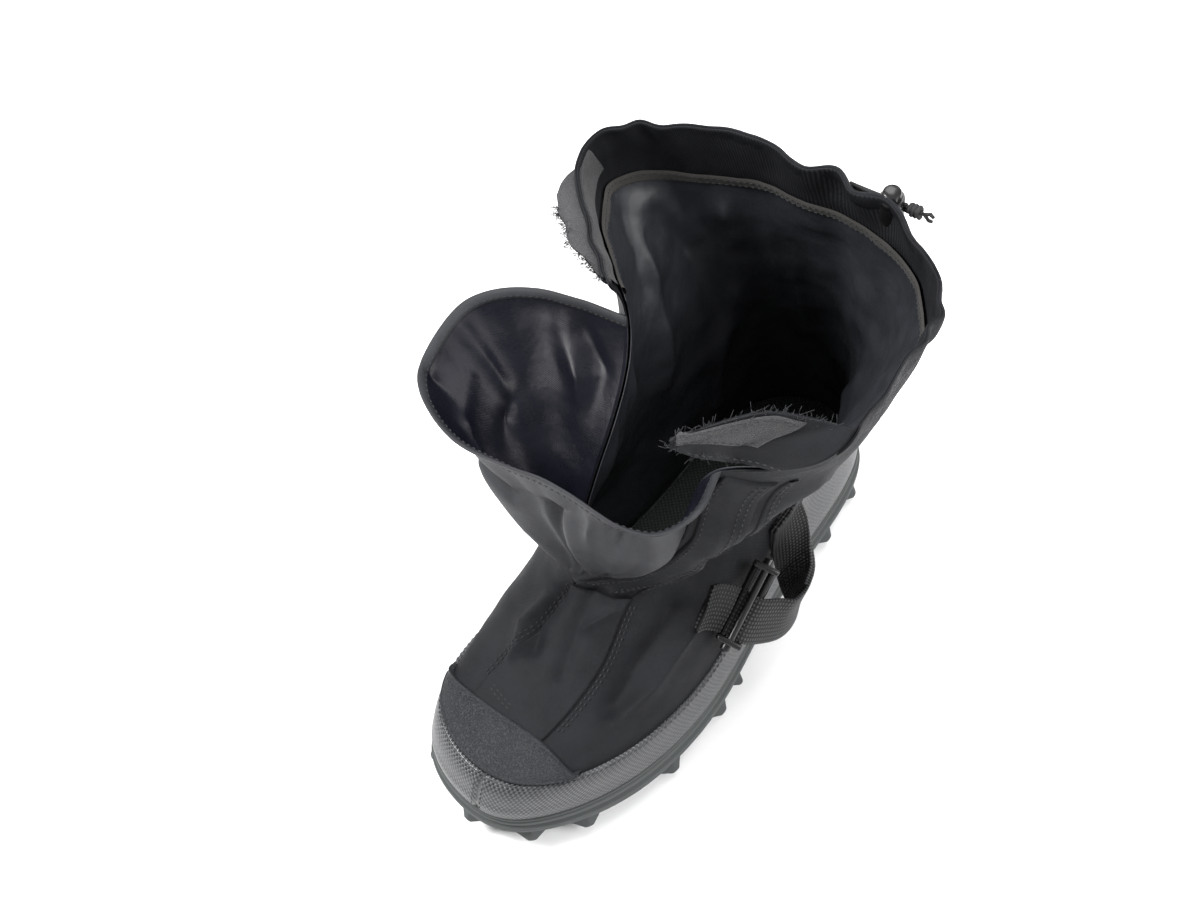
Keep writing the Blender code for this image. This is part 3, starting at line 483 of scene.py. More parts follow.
def webbing_group() -> bpy.types.NodeTree:
    """Ribs of a woven strap on a UV map in metres: cross ribs broken by long columns."""
    tree, r, source, target = group_tree(
        "webbing_ribs",
        {"Vector": ("NodeSocketVector", None), "Rib": ("NodeSocketFloat", 0.0018),
         "Column": ("NodeSocketFloat", 0.0023)},
        ("Height", "Shade"),
    )
    axes = r.add("ShaderNodeSeparateXYZ", Vector=source.outputs["Vector"])
    turn = 2 * math.pi
    rib = r.math("SINE", r.math("DIVIDE", r.math("MULTIPLY", axes.outputs[1], turn),
                                source.outputs["Rib"]))
    column = r.math("SINE", r.math("DIVIDE", r.math("MULTIPLY", axes.outputs[0], turn),
                                   source.outputs["Column"]))
    crossed = r.math("MULTIPLY", r.spread(rib, -0.6, 0.7), r.spread(column, -0.8, 0.5))
    r.put(target.inputs["Height"], crossed)
    # The tone also carries the rib height, so the ribs' painted shade and highlight reach the
    # colour through it too.
    r.put(target.inputs["Shade"], r.math("MULTIPLY_ADD", r.noise(source.outputs["Vector"], 700.0),
                                         0.4, r.math("MULTIPLY", crossed, 0.6)))
    return tree


def grain_group() -> bpy.types.NodeTree:
    """Moulded grain and handling marks in object space."""
    tree, r, source, target = group_tree(
        "moulded_grain",
        {"Vector": ("NodeSocketVector", None), "Grain": ("NodeSocketFloat", 900.0)},
        ("Height", "Shade"),
    )
    pebble = r.add("ShaderNodeTexVoronoi", Vector=source.outputs["Vector"],
                   Scale=source.outputs["Grain"])
    r.put(target.inputs["Height"], r.spread(pebble.outputs[0], 0.0, 0.8))
    marks = r.noise(source.outputs["Vector"], 26.0, 6.0)
    r.put(target.inputs["Shade"], marks)
    return tree


class Relief(Enum):
    """The surface pattern of a finish, by the node group that makes it."""

    WEAVE = "cloth_weave"
    SCALES = "scale_relief"
    WEBBING = "webbing_ribs"
    GRAIN = "moulded_grain"


RELIEF_MAKERS = {
    Relief.WEAVE: weave_group,
    Relief.SCALES: scale_group,
    Relief.WEBBING: webbing_group,
    Relief.GRAIN: grain_group,
}


@dataclass(frozen=True)
class Finish:
    """One surface finish.

    Args:
        name: the material's name.
        dark: colour in the hollows, where it is painted shade.
        light: colour on the high spots, where it is a painted highlight, and on the worn places.
        rough: roughness in the dark and light parts.
        relief: the pattern that shapes it.
        sizes: the pattern's own inputs.
        depth: height of the pattern in metres.
        crumple: height of soft crumples in metres.
        crumple_size: scale of the crumples.
        coat: clear coat weight.
        sheen: cloth sheen weight.
        specular: strength of the plain reflection.
        relief_shading: how far the pattern's height sets the colour, as painted shade in the
            hollows and a painted highlight where the high spots take the light colour.
    """

    name: str
    dark: tuple
    light: tuple
    rough: tuple
    relief: Relief
    sizes: tuple = ()
    depth: float = 0.0001
    crumple: float = 0.0
    crumple_size: float = 60.0
    coat: float = 0.0
    sheen: float = 0.0
    specular: float = 0.5
    # Weight of the painted shade in the relief's hollows and the painted highlight on its high
    # spots.
    relief_shading: float = 0.35

    def make(self) -> bpy.types.Material:
        """Builds the material once and returns it."""
        known = bpy.data.materials.get(self.name)
        if known:
            return known
        made = bpy.data.materials.new(self.name)
        made.use_nodes = True
        tree = made.node_tree
        shader = tree.nodes["Principled BSDF"]
        r = Recipe(tree)
        coordinates = r.add("ShaderNodeTexCoord")
        uses_uv = self.relief is not Relief.GRAIN
        vector = coordinates.outputs["UV" if uses_uv else "Object"]
        group = r.add("ShaderNodeGroup")
        group.node_tree = (
            bpy.data.node_groups.get(self.relief.value) or RELIEF_MAKERS[self.relief]()
        )
        r.put(group.inputs["Vector"], vector)
        for label, value in self.sizes:
            group.inputs[label].default_value = value
        height, shade = group.outputs["Height"], group.outputs["Shade"]
        # Painted shade and highlight: the relief's height darkens its hollows and lightens its high
        # spots in the colour; the rest of the mix is the uneven tone.
        share = r.math("MULTIPLY_ADD", height, self.relief_shading, r.math("MULTIPLY", shade, 1 - self.relief_shading))
        share = r.spread(share, 0.25, 0.75)
        r.put(shader.inputs["Base Color"], r.mix(share, (*self.dark, 1.0), (*self.light, 1.0)))
        low, high = self.rough
        r.put(shader.inputs["Roughness"], r.math("MULTIPLY_ADD", shade, high - low, low))
        shader.inputs["Coat Weight"].default_value = self.coat
        shader.inputs["Coat Roughness"].default_value = 0.25
        shader.inputs["Specular IOR Level"].default_value = self.specular
        shader.inputs["Sheen Weight"].default_value = self.sheen
        shader.inputs["Sheen Roughness"].default_value = 0.45
        bump = r.add("ShaderNodeBump", Height=height, Distance=self.depth, Strength=1.0)
        if self.crumple:
            space = coordinates.outputs["Object"]
            folds = r.noise(space, self.crumple_size, 3.0)
            soft = r.add("ShaderNodeBump", Height=folds, Distance=self.crumple, Strength=1.0)
            r.put(bump.inputs["Normal"], soft.outputs[0])
        r.put(shader.inputs["Normal"], bump.outputs[0])
        return made


# The finishes. Each one's relief weight paints shade into its pattern's hollows and highlight onto
# its high spots; the strap webbing has the most.
NYLON = Finish("black_nylon_cloth", (.0034, .0037, .0047), (.0135, .0142, .0168), (.50, .70),
               Relief.WEAVE, (("Pitch", .0008),), .00010, .0016, 60.0, specular=.15, relief_shading=.25)
TWILL = Finish("collar_twill", (.0035, .0038, .0048), (.0230, .0240, .0270), (.55, .75),
               Relief.WEAVE, (("Pitch", .0018), ("Slant", 1.0)), .00030, .0010, 60.0,
               specular=.16, relief_shading=.55)
# The liner is painted lighter than the same coating on the gusset's inner face, standing in for the
# light that reaches deep inside the shaft.
LINER = Finish("liner_coating", (.0120, .0130, .0155), (.0300, .0315, .0370), (.32, .48),
               Relief.WEAVE, (("Pitch", .0009),), .00004, .0014, 38.0, specular=.35, coat=.06,
               relief_shading=.1)
GUSSET_INNER = Finish("gusset_coating", (.0026, .0027, .0050), (.0070, .0070, .0115), (.22, .34),
                      Relief.WEAVE, (("Pitch", .0009),), .00005, .0010, 45.0, specular=.13,
                      relief_shading=.1)
GUSSET_OUTER = Finish("gusset_cloth", (.0110, .0115, .0135), (.0270, .0280, .0320), (.46, .64),
                      Relief.WEAVE, (("Pitch", .0008),), .00008, .0010, 60.0, specular=.28,
                      relief_shading=.2)
TAPE = Finish("binding_tape_cloth", (.0220, .0210, .0200), (.0600, .0570, .0540), (.7, .9),
              Relief.WEAVE, (("Pitch", .0012),), .00016, specular=.2, sheen=.05)
HOOK = Finish("hook_tape_pile", (.014, .014, .015), (.052, .052, .055), (.6, .9), Relief.GRAIN,
              (("Grain", 1500.0),), .0004, specular=.2, sheen=.1)
RAND = Finish("rand_scales", (.0100, .0110, .0125), (.0560, .0580, .0620), (.28, .42),
              Relief.SCALES, (("Pitch Along", .0026), ("Pitch Up", .0031)), .00034, .0005, 45.0,
              specular=.50, relief_shading=.5)
CAP = Finish("toe_cap_pebble", (.005, .0055, .0063), (.023, .025, .028), (.50, .70), Relief.GRAIN,
             (("Grain", 1300.0),), .00034, specular=.20, relief_shading=.5)
RUBBER = Finish("outsole_rubber", (.026, .0285, .0285), (.050, .054, .054), (.6, .8), Relief.GRAIN,
                (("Grain", 2400.0),), .00006, .0002, 120.0, specular=.30, relief_shading=.15)
WEBBING = Finish("strap_webbing", (.004, .004, .0045), (.046, .047, .050), (.5, .7),
                 Relief.WEBBING, (), .00035, specular=.22, sheen=.03, relief_shading=.8)
PLASTIC = Finish("black_plastic_gloss", (.005, .005, .0055), (.009, .009, .010), (.20, .32),
                 Relief.GRAIN, (("Grain", 3000.0),), .00001, specular=.35, coat=.06, relief_shading=.1)
THREAD = Finish("stitch_thread", (.010, .0105, .012), (.034, .035, .039), (.5, .7), Relief.GRAIN,
                (("Grain", 4000.0),), .00005, specular=.3)
CORD = Finish("cord_braid", (.006, .006, .0065), (.028, .028, .030), (.5, .75), Relief.GRAIN,
              (("Grain", 2600.0),), .00020, specular=.25, relief_shading=.6)
FELT = Finish("insole_rib", (.012, .014, .013), (.032, .037, .035), (.7, .9), Relief.WEAVE,
              (("Pitch", .0028),), .0003, specular=.2, relief_shading=.6)


# Mesh helpers
def link(name: str, mesh: bpy.types.Mesh, finish: Finish, smooth: float = 180.0
         ) -> bpy.types.Object:
    """Links a mesh as a named object with its finish.

    Args:
        name: the piece's name.
        mesh: its mesh.
        finish: its finish.
        smooth: angle in degrees above which an edge stays sharp.

    Returns:
        The object.
    """
    mesh.materials.clear()
    mesh.materials.append(finish.make())
    mesh.shade_smooth()
    if smooth < 180:
        mesh.set_sharp_from_angle(angle=math.radians(smooth))
    return into_scene(bpy.data.objects.new(name, mesh))


def from_bmesh(name: str, work: bmesh.types.BMesh) -> bpy.types.Mesh:
    """Writes a bmesh to a new mesh and frees it."""
    mesh = bpy.data.meshes.new(name)
    work.to_mesh(mesh)
    work.free()
    return mesh


def into_scene(item: bpy.types.Object) -> bpy.types.Object:
    """Links an object to the scene."""
    bpy.context.scene.collection.objects.link(item)
    return item


def turned_over(mesh: bpy.types.Mesh) -> bpy.types.Mesh:
    """Turns a sheet's faces to its other side."""
    work = bmesh.new()
    work.from_mesh(mesh)
    bmesh.ops.reverse_faces(work, faces=work.faces)
    work.to_mesh(mesh)
    work.free()
    return mesh


def capped(mesh: bpy.types.Mesh) -> bpy.types.Mesh:
    """Closes the open ends of a shape and turns its faces outwards."""
    work = bmesh.new()
    work.from_mesh(mesh)
    bmesh.ops.remove_doubles(work, verts=work.verts, dist=MERGE)
    bmesh.ops.holes_fill(work, edges=work.edges, sides=0)
    bmesh.ops.recalc_face_normals(work, faces=work.faces)
    work.to_mesh(mesh)
    work.free()
    return mesh


def soften(piece: bmesh.types.BMesh, offset: float, segments: int) -> None:
    """Rounds every edge of a shape."""
    bmesh.ops.bevel(piece, geom=piece.edges[:], offset=offset, segments=segments, profile=0.5,
                    affect="EDGES", material=-1)


def absorb(work: bmesh.types.BMesh, piece: bmesh.types.BMesh) -> None:
    """Moves one closed shape into a larger bmesh, its faces turned outwards."""
    bmesh.ops.recalc_face_normals(piece, faces=piece.faces)
    mesh = from_bmesh("shape", piece)
    work.from_mesh(mesh)
    bpy.data.meshes.remove(mesh)


def sheet_mesh(name: str, columns: int, rows: int, place: Place, close: bool = False,
               close_up: bool = False) -> bpy.types.Mesh:
    """Bends a flat grid onto a surface and lays a UV map in metres on it.

    Args:
        name: the mesh's name.
        columns: faces along s.
        rows: faces along t.
        place: gives the points at shares s and t.
        close: joins the two ends of s.
        close_up: joins the two ends of t.

    Returns:
        The mesh.
    """
    work = bmesh.new()
    bmesh.ops.create_grid(work, x_segments=columns, y_segments=rows, size=0.5, calc_uvs=False)
    mesh = from_bmesh(name, work)
    flat = np.zeros(len(mesh.vertices) * 3)
    mesh.vertices.foreach_get("co", flat)
    flat = flat.reshape(-1, 3)
    s, t = flat[:, 0] + 0.5, flat[:, 1] + 0.5
    points = place(s, t)
    mesh.vertices.foreach_set("co", points.ravel())
    column = np.rint(s * columns).astype(int)
    row = np.rint(t * rows).astype(int)
    table = np.zeros((rows + 1, columns + 1, 3))
    table[row, column] = points
    across = np.zeros((rows + 1, columns + 1))
    across[:, 1:] = np.cumsum(np.linalg.norm(np.diff(table, axis=1), axis=2), axis=1)
    upward = np.zeros((rows + 1, columns + 1))
    upward[1:] = np.cumsum(np.linalg.norm(np.diff(table, axis=0), axis=2), axis=0)
    across[:] = across.mean(axis=0)[None, :]
    uv = np.stack([across[row, column], upward[row, column]], 1)
    layer = mesh.uv_layers.new(name="UVMap")
    corners = np.zeros(len(mesh.loops), int)
    mesh.loops.foreach_get("vertex_index", corners)
    layer.data.foreach_set("uv", uv[corners].ravel())
    if close or close_up:
        work = bmesh.new()
        work.from_mesh(mesh)
        bmesh.ops.remove_doubles(work, verts=work.verts, dist=MERGE)
        work.to_mesh(mesh)
        work.free()
    mesh.update()
    return mesh


def wall(item: bpy.types.Object, thickness: float, side: float = -1.0, inner: Finish | None = None
         ) -> bpy.types.Object:
    """Gives a sheet its thickness, with another finish on its inner face where given."""
    made = item.modifiers.new("wall", "SOLIDIFY")
    made.thickness = thickness
    made.offset = side
    if inner:
        item.data.materials.append(inner.make())
        made.material_offset = 1
        made.material_offset_rim = 0
    return item


def surface(u_range: tuple, low: Callable, high: Callable, lift: float | Callable) -> Place:
    """A patch of the upper between two lines, as a place function.

    Args:
        u_range: start and stop of the way round.
        low: lower ring number by u.
        high: upper ring number by u.
        lift: height off the surface, or a function of s and t.

    Returns:
        The place function of s and t.
    """
    def place(s: np.ndarray, t: np.ndarray) -> np.ndarray:
        """Reads the patch."""
        u = u_range[0] + (u_range[1] - u_range[0]) * s
        v = low(u) + (high(u) - low(u)) * t
        height = lift(s, t) if callable(lift) else lift
        return FORM.point(u, v, height)

    return place


def edge_roll(thickness: float, width_s: float, width_t: float) -> Callable:
    """A lift that falls to the cloth at a patch's edges, like a turned hem."""
    def lift(s: np.ndarray, t: np.ndarray) -> np.ndarray:
        """Reads the lift."""
        near_s = np.clip(np.minimum(s, 1 - s) / max(width_s, 1e-6), 0, 1) if width_s else 1.0
        near_t = np.clip(np.minimum(t, 1 - t) / max(width_t, 1e-6), 0, 1) if width_t else 1.0
        near = np.minimum(near_s, near_t)
        return thickness * np.sqrt(1 - (1 - near) ** 2) + 0.0001

    return lift


@dataclass
class Stitching:
    """Collects stitches along lines and makes one mesh of them."""

    name: str
    long: float = 0.0024
    gap: float = 0.0011
    thick: float = 0.00050
    count: int = 0
    work: bmesh.types.BMesh = field(default_factory=bmesh.new)

    def along(self, line: Points, normals: Points) -> None:
        """Adds stitches along a line that lies on a surface with these normals."""
        steps = np.linalg.norm(np.diff(line, axis=0), axis=1)
        gone = np.concatenate([[0], np.cumsum(steps)])
        places = np.arange(self.long / 2, gone[-1] - self.long / 2, self.long + self.gap)
        for place in places:
            ends = [
                np.array([np.interp(place + side * self.long / 2, gone, line[:, k])
                          for k in range(3)]) for side in (-1, 1)
            ]
            up = np.array([np.interp(place, gone, normals[:, k]) for k in range(3)])
            along = Vector(ends[1] - ends[0]).normalized()
            side = Vector(up).cross(along).normalized()
            out = along.cross(side)
            matrix = Matrix((along, side, out)).transposed().to_4x4()
            matrix.translation = Vector((ends[0] + ends[1]) / 2)
            size = Matrix.Diagonal((self.long / 2, self.thick * 0.6, self.thick * 0.55, 1.0))
            bmesh.ops.create_icosphere(self.work, subdivisions=1, radius=1.0, matrix=matrix @ size)
            self.count += 1

    def on_upper(self, u: Sequence, v: Sequence, lift: float, samples: int = 160) -> None:
        """Adds stitches on the upper through places (u, v), lifted off its surface."""
        t = np.linspace(0, len(u) - 1, samples)
        line_u = smooth_rows([[x] for x in u], t)[:, 0]
        line_v = smooth_rows([[x] for x in v], t)[:, 0]
        around = np.where(line_v <= THROAT_RING, line_u % 1.0, np.clip(line_u, 0, 1))
        self.along(FORM.point(line_u, line_v, lift), np.sign(lift) * FORM.normal(around, line_v))

    def finish(self) -> bpy.types.Object:
        """Makes the piece."""
        made = link(self.name, from_bmesh(self.name, self.work), THREAD)
        LOG.info("%s: %d stitches", self.name, self.count)
        return made


def done(item: bpy.types.Object, slot: str, *nodes: str) -> bpy.types.Object:
    """Hands a finished piece to the frame under the root body and hides the nodes it stands for."""
    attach(item, "root")
    if nodes:
        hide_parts(*nodes)
    LOG.info("%s: %d faces", item.name, len(item.data.polygons) if item.type == "MESH" else 0)
    return item


def tube(name: str, points: Points, radius: float, finish: Finish, resolution: int = 3
         ) -> bpy.types.Object:
    """A round cord through points, as one open spline."""
    curve = bpy.data.curves.new(name, "CURVE")
    curve.dimensions = "3D"
    curve.bevel_depth = radius
    curve.bevel_resolution = resolution
    curve.use_fill_caps = True
    spline = curve.splines.new("POLY")
    spline.points.add(len(points) - 1)
    for target, point in zip(spline.points, points):
        target.co = (*point, 1.0)
    curve.materials.append(finish.make())
    return into_scene(bpy.data.objects.new(name, curve))


def tubes(name: str, lines: Sequence, radius: float, finish: Finish) -> bpy.types.Object:
    """Many thin fibres as one mesh, each a row of short tapered rods."""
    work = bmesh.new()
    for line in lines:
        line = np.asarray(line, float)
        for a, b in zip(line, line[1:]):
            axis = Vector(b - a)
            matrix = axis.to_track_quat("Z", "Y").to_matrix().to_4x4()
            matrix.translation = Vector((a + b) / 2)
            bmesh.ops.create_cone(
                work, cap_ends=True, segments=5, radius1=radius, radius2=radius * 0.85,
                depth=axis.length * 1.04, matrix=matrix,
            )
    return link(name, from_bmesh(name, work), finish)


def frame_matrix(origin: Sequence, x_axis: Sequence, z_axis: Sequence) -> Matrix:
    """A placing matrix from an origin, a direction for X and one near Z."""
    x_axis = Vector(x_axis).normalized()
    y_axis = Vector(z_axis).normalized().cross(x_axis).normalized()
    made = Matrix((x_axis, y_axis, x_axis.cross(y_axis))).transposed().to_4x4()
    made.translation = Vector(origin)
    return made


@dataclass
class Outsole:
    """The lugged rubber outsole: stepped side wall, tread blocks and side lugs."""

    edge_inset: float = 0.012
    edge_size: tuple = (0.020, 0.015)
    side_size: float = 0.021
    side_reach: float = 0.0048
    side_root: float = 0.006
    lug_root: float = 0.004
    tread_rows: int = 9
    tread_span: tuple = (-0.40, 0.42)
    tread_size: tuple = (0.024, 0.013)
    profile: tuple = (
        # share of the outline kept, inset, share of the height
        (0.00, 0.006, 0.00), (0.50, 0.006, 0.00), (0.90, 0.006, 0.00), (1.0, 0.0055, 0.00),
        (1.0, 0.0035, 0.015), (1.0, 0.0012, 0.08), (1.0, 0.0000, 0.18), (1.0, -0.0010, 0.30),
        (1.0, -0.0012, 0.42), (1.0, -0.0009, 0.52), (1.0, 0.0004, 0.56), (1.0, 0.0008, 0.60),
        (1.0, 0.0002, 0.64), (1.0, -0.0001, 0.72), (1.0, 0.0001, 0.80), (1.0, 0.0012, 0.86),
        (1.0, 0.0009, 0.89), (1.0, 0.0000, 0.93), (1.0, 0.0002, 0.98), (1.0, 0.0012, 1.00),
        (0.97, 0.0022, 1.00), (0.5, 0.002, 1.00), (0.0, 0.002, 1.00),
    )

    def body(self) -> bpy.types.Mesh:
        """The sole's body, closed above and below."""
        table = np.array(self.profile)

        def place(s: np.ndarray, t: np.ndarray) -> np.ndarray:
            """Reads the profile row by row."""
            row = np.rint(t * (len(table) - 1)).astype(int)
            keep, inset, share = table[row].T
            plan = SOLE.outline(s, inset) * keep[:, None]
            low = SOLE.floor(plan[:, 1]) + TREAD_DEPTH
            return np.stack([*plan.T, low + (SOLE_TOP - low) * share], 1)

        return sheet_mesh("outsole_body", 220, len(table) - 1, place, close=True)

    def block(self, work: bmesh.types.BMesh, place: Sequence, turn: float, size: tuple) -> None:
        """One tapered tread block with softened edges."""
        height = TREAD_DEPTH + self.lug_root
        low = float(SOLE.floor(np.array([place[1]]))[0])
        matrix = Matrix.Translation((place[0], place[1], low + height / 2))
        matrix = matrix @ Matrix.Rotation(turn, 4, "Z") @ Matrix.Diagonal((*size, height, 1.0))
        piece = bmesh.new()
        bmesh.ops.create_cube(piece, size=1.0, matrix=matrix)
        for vert in piece.verts:
            if vert.co.z < low + height / 2:
                vert.co.x = place[0] + (vert.co.x - place[0]) * 0.78
                vert.co.y = place[1] + (vert.co.y - place[1]) * 0.78
        soften(piece, 0.0009, 2)
        absorb(work, piece)

    def pyramid(self, work: bmesh.types.BMesh, turn: float, size: float) -> None:
        """One ridged pyramid on the side of the sole."""
        here = SOLE.outline(np.array([turn]))[0]
        ahead = np.diff(SOLE.outline(np.array([turn - 0.004, turn + 0.004])), axis=0)[0]
        along = Vector((ahead[0], ahead[1], 0)).normalized()
        outward = Vector((along.y, -along.x, 0))
        low = float(SOLE.floor(np.array([here[1]]))[0])
        middle = Vector((here[0], here[1], low + self.lug_root + size * 0.26))
        middle -= outward * self.side_root
        place = frame_matrix(middle, along, (outward - Vector((0, 0, 0.35))).normalized())
        depth = self.side_reach + self.side_root
        piece = bmesh.new()
        bmesh.ops.create_cone(
            piece, cap_ends=True, segments=4, radius1=size * 0.74, radius2=size * 0.13, depth=depth,
            matrix=place @ Matrix.Translation((0, 0, depth / 2 - 0.002))
            @ Matrix.Diagonal((1.0, 0.62, 1.0, 1.0)),
        )
        soften(piece, 0.0009, 3)
        absorb(work, piece)

    def build(self) -> None:
        """Makes the outsole as one piece."""
        work = bmesh.new()
        work.from_mesh(self.body())
        bmesh.ops.remove_doubles(work, verts=work.verts, dist=MERGE)
        bmesh.ops.recalc_face_normals(work, faces=work.faces)
        for turn, share in SIDE_LUGS:
            x, y = SOLE.outline(np.array([turn]), self.edge_inset)[0]
            ahead = np.diff(SOLE.outline(np.array([turn - 0.004, turn + 0.004])), axis=0)[0]
            self.block(work, (x, y), math.atan2(ahead[1], ahead[0]), self.edge_size)
            self.pyramid(work, turn, self.side_size * share)
        for share in np.linspace(*self.tread_span, self.tread_rows):
            turn = math.acos(-2 * share) / (2 * math.pi)
            for side in (1, -1):
                width = float(SOLE.half_width(np.array([side * turn]))[0])
                place = (width * 0.34, share * OUTSOLE_LENGTH)
                self.block(work, place, side * 0.5, self.tread_size)
        done(link("outsole_dressed", from_bmesh("outsole_dressed", work), RUBBER, 35.0),
             "outsole_rubber", "outsole")


@dataclass
class Shaft:
    """The nylon foot and shaft, its glossy liner, the liner's binding and the collar."""

    cloth: float = 0.0009
    liner_depth: float = 0.0016
    binding_half: float = 0.085
    tab_reach: float = 0.013
    tab_span: tuple = (0.84, 0.995)

    def shell(self) -> None:
        """The outer cloth from the sole to the rim, with the collar's twill on its inner face."""
        def place(s: np.ndarray, t: np.ndarray) -> np.ndarray:
            """Rows are closer together up the shaft."""
            return FORM.point(s, RIM_RING * t, 0.0)

        mesh = sheet_mesh("shaft_shell", 250, 170, place, close=True)
        shell = wall(link("shaft_shell", mesh, NYLON), self.cloth, -1.0, TWILL)
        done(shell, "black_nylon", "upper")

    def liner(self) -> None:
        """The coated liner inside, slack and crumpled, up to its own top edge."""
        slack = (
            Crease(((-75, 99, 214), (-56, 108, 190), (-46, 122, 205)), .0070, -.0060, .8),
            Crease(((-60, 110, 222), (-56, 110, 186)), .0110, .0070, .3),
            Crease(((-47, 121, 220), (-45, 124, 200), (-40, 122, 180)), .0060, -.0050, .6),
            Crease(((-77, 92, 212), (-72, 81, 196), (-60, 75, 170), (-44, 60, 120)),
                   .0075, -.0055, .5),
            Crease(((-38, 123, 140), (-39, 110, 110), (-39, 102, 66)), .0070, -.0040, .5),
            Crease(((-10, 150, 200), (-14, 152, 150), (-10, 154, 100)), .0080, -.0040, .4),
            Crease(((60, 100, 210), (50, 108, 170), (44, 112, 120)), .0090, -.0050, .4),
            Crease(((100, 40, 225), (80, 46, 180), (58, 40, 130)), .0100, -.0050, .4),
            Crease(((-50, 20, 190), (-38, 20, 150), (-38, 20, 100)), .0080, -.0035, .5),
        )

        def place(s: np.ndarray, t: np.ndarray) -> np.ndarray:
            """The surface inside the shell, with its own slack folds."""
            v = liner_line(s) * t
            places = FORM.base(s, v)
            own = sum(crease.rise(places) for crease in slack)
            own = own + 0.0016 * NOISE(places + 3.0, 0.020) - 0.0016
            inward = np.minimum(own, 0.0) * np.clip(t * 6, 0, 1) * np.clip((1 - t) * 14, 0, 1)
            edge = np.clip(np.minimum(s, 1 - s) / 0.03, 0.0, 1)
            return FORM.point(s, v, -(self.cloth + self.liner_depth) + inward * edge)

        mesh = turned_over(sheet_mesh("liner", 220, 150, place, close=True))
        # Its finish is painted lighter than the coating elsewhere, standing in for light deep
        # inside the shaft.
        done(wall(link("liner", mesh, LINER), 0.0005, -1.0), "coated_nylon")

    def binding(self, stitches: Stitching) -> None:
        """The tape round the liner's top edge, with its stitch line."""
        half = self.binding_half

        def place(s: np.ndarray, t: np.ndarray) -> np.ndarray:
            """A puffed tape over the liner's edge."""
            u = 0.012 + 0.976 * s
            puff = 0.0013 * np.sqrt(np.clip(1 - (2 * t - 1) ** 4, 0, 1))
            v = liner_line(u) + half * (2 * t - 1)
            return FORM.point(u, v, -(self.cloth + self.liner_depth + 0.0002 + puff))

        mesh = turned_over(sheet_mesh("liner_tape", 300, 8, place))
        done(link("liner_tape", mesh, TAPE), "binding_tape", "liner_binding")
        u = np.linspace(0.03, 0.97, 9)
        for offset in (-0.045, 0.045):
            depth = self.cloth + self.liner_depth + 0.0016
            stitches.on_upper(u, liner_line(u) + offset, -depth, 400)

    def hem(self) -> None:
        """The collar's rolled channel, gathered by the cord."""
        def place(s: np.ndarray, t: np.ndarray) -> np.ndarray:
            """A closed roll over the rim: up the inside, over, and down the outside."""
            u = 0.010 + 0.980 * s
            angle = 2 * math.pi * t
            edge = FORM.base(u, np.full(len(u), float(RIM_RING)))
            pleats = 0.5 + 0.5 * NOISE(edge + 4.0, 0.011) + 0.3 * NOISE(edge + 1.0, 0.005)
            near = 0.55 + np.exp(-(((u - 0.42) / 0.15) ** 2))
            full = 0.0010 + 0.0009 * pleats * near
            lift = 0.0006 + full * np.sin(angle)
            v = 8.86 + 0.16 * np.cos(angle)
            beyond = np.maximum(v - RIM_RING, 0.0)
            points = FORM.point(u, np.minimum(v, RIM_RING), lift)
            points[:, 2] += beyond * 0.045
            return points

        mesh = capped(sheet_mesh("collar_roll", 420, 16, place, close_up=True))
        done(link("collar_roll", mesh, NYLON), "black_nylon", "collar_hem")

    def loop_strip(self) -> None:
        """The hook-and-loop strip inside the inner front corner, with its frayed edge."""
        def place(s: np.ndarray, t: np.ndarray) -> np.ndarray:
            """A soft pile strip."""
            u = 0.800 + 0.190 * s
            pile = 0.0014 * np.sqrt(np.clip(1 - (2 * t - 1) ** 6, 0, 1))
            return FORM.point(u, 8.42 + 0.52 * t, -(self.cloth + 0.0002 + pile))

        mesh = turned_over(sheet_mesh("loop_pile", 90, 22, place))
        done(link("loop_pile", mesh, HOOK), "hook_tape", "loop_strip")

        def tab(s: np.ndarray, t: np.ndarray) -> np.ndarray:
            """The inner corner's edge, which leans out past the rim and ends ragged."""
            u = self.tab_span[0] + (self.tab_span[1] - self.tab_span[0]) * t
            edge = FORM.point(u, np.full(len(t), 8.93), 0.0)
            reach = self.tab_reach * np.sin(math.pi * np.clip(t, 0, 1) ** 0.8)
            ragged = 1 + 0.07 * NOISE(edge + 6.0, 0.005) + 0.06 * NOISE(edge + 9.0, 0.013)
            way = np.array([-0.80, -0.59, -0.10])
            return edge - way * 0.002 + way * ((reach * ragged + 0.002) * s)[:, None]

        done(wall(link("corner_tab", sheet_mesh("corner_tab", 26, 70, tab), HOOK), 0.0016, 0.0),
             "hook_tape")
        rng = np.random.default_rng(11)
        fibres = []
        for _ in range(260):
            t = rng.uniform(0.35, 1.0)
            start = tab(np.array([0.995]), np.array([t]))[0]
            way = unit(rng.normal(size=3) * 0.8 + np.array([-0.5, -1.0, 0.2]))
            curl = rng.normal(size=3) * 0.0012
            long = rng.uniform(0.0015, 0.0045)
            fibres.append([start, start + way * long / 2, start + way * long + curl])
        done(tubes("corner_fray", fibres, 0.00013, THREAD), "hook_tape")

    def build(self, stitches: Stitching) -> None:
        """Makes every piece of the shaft."""
        self.shell()
        self.liner()
        self.binding(stitches)
        self.hem()
        self.loop_strip()


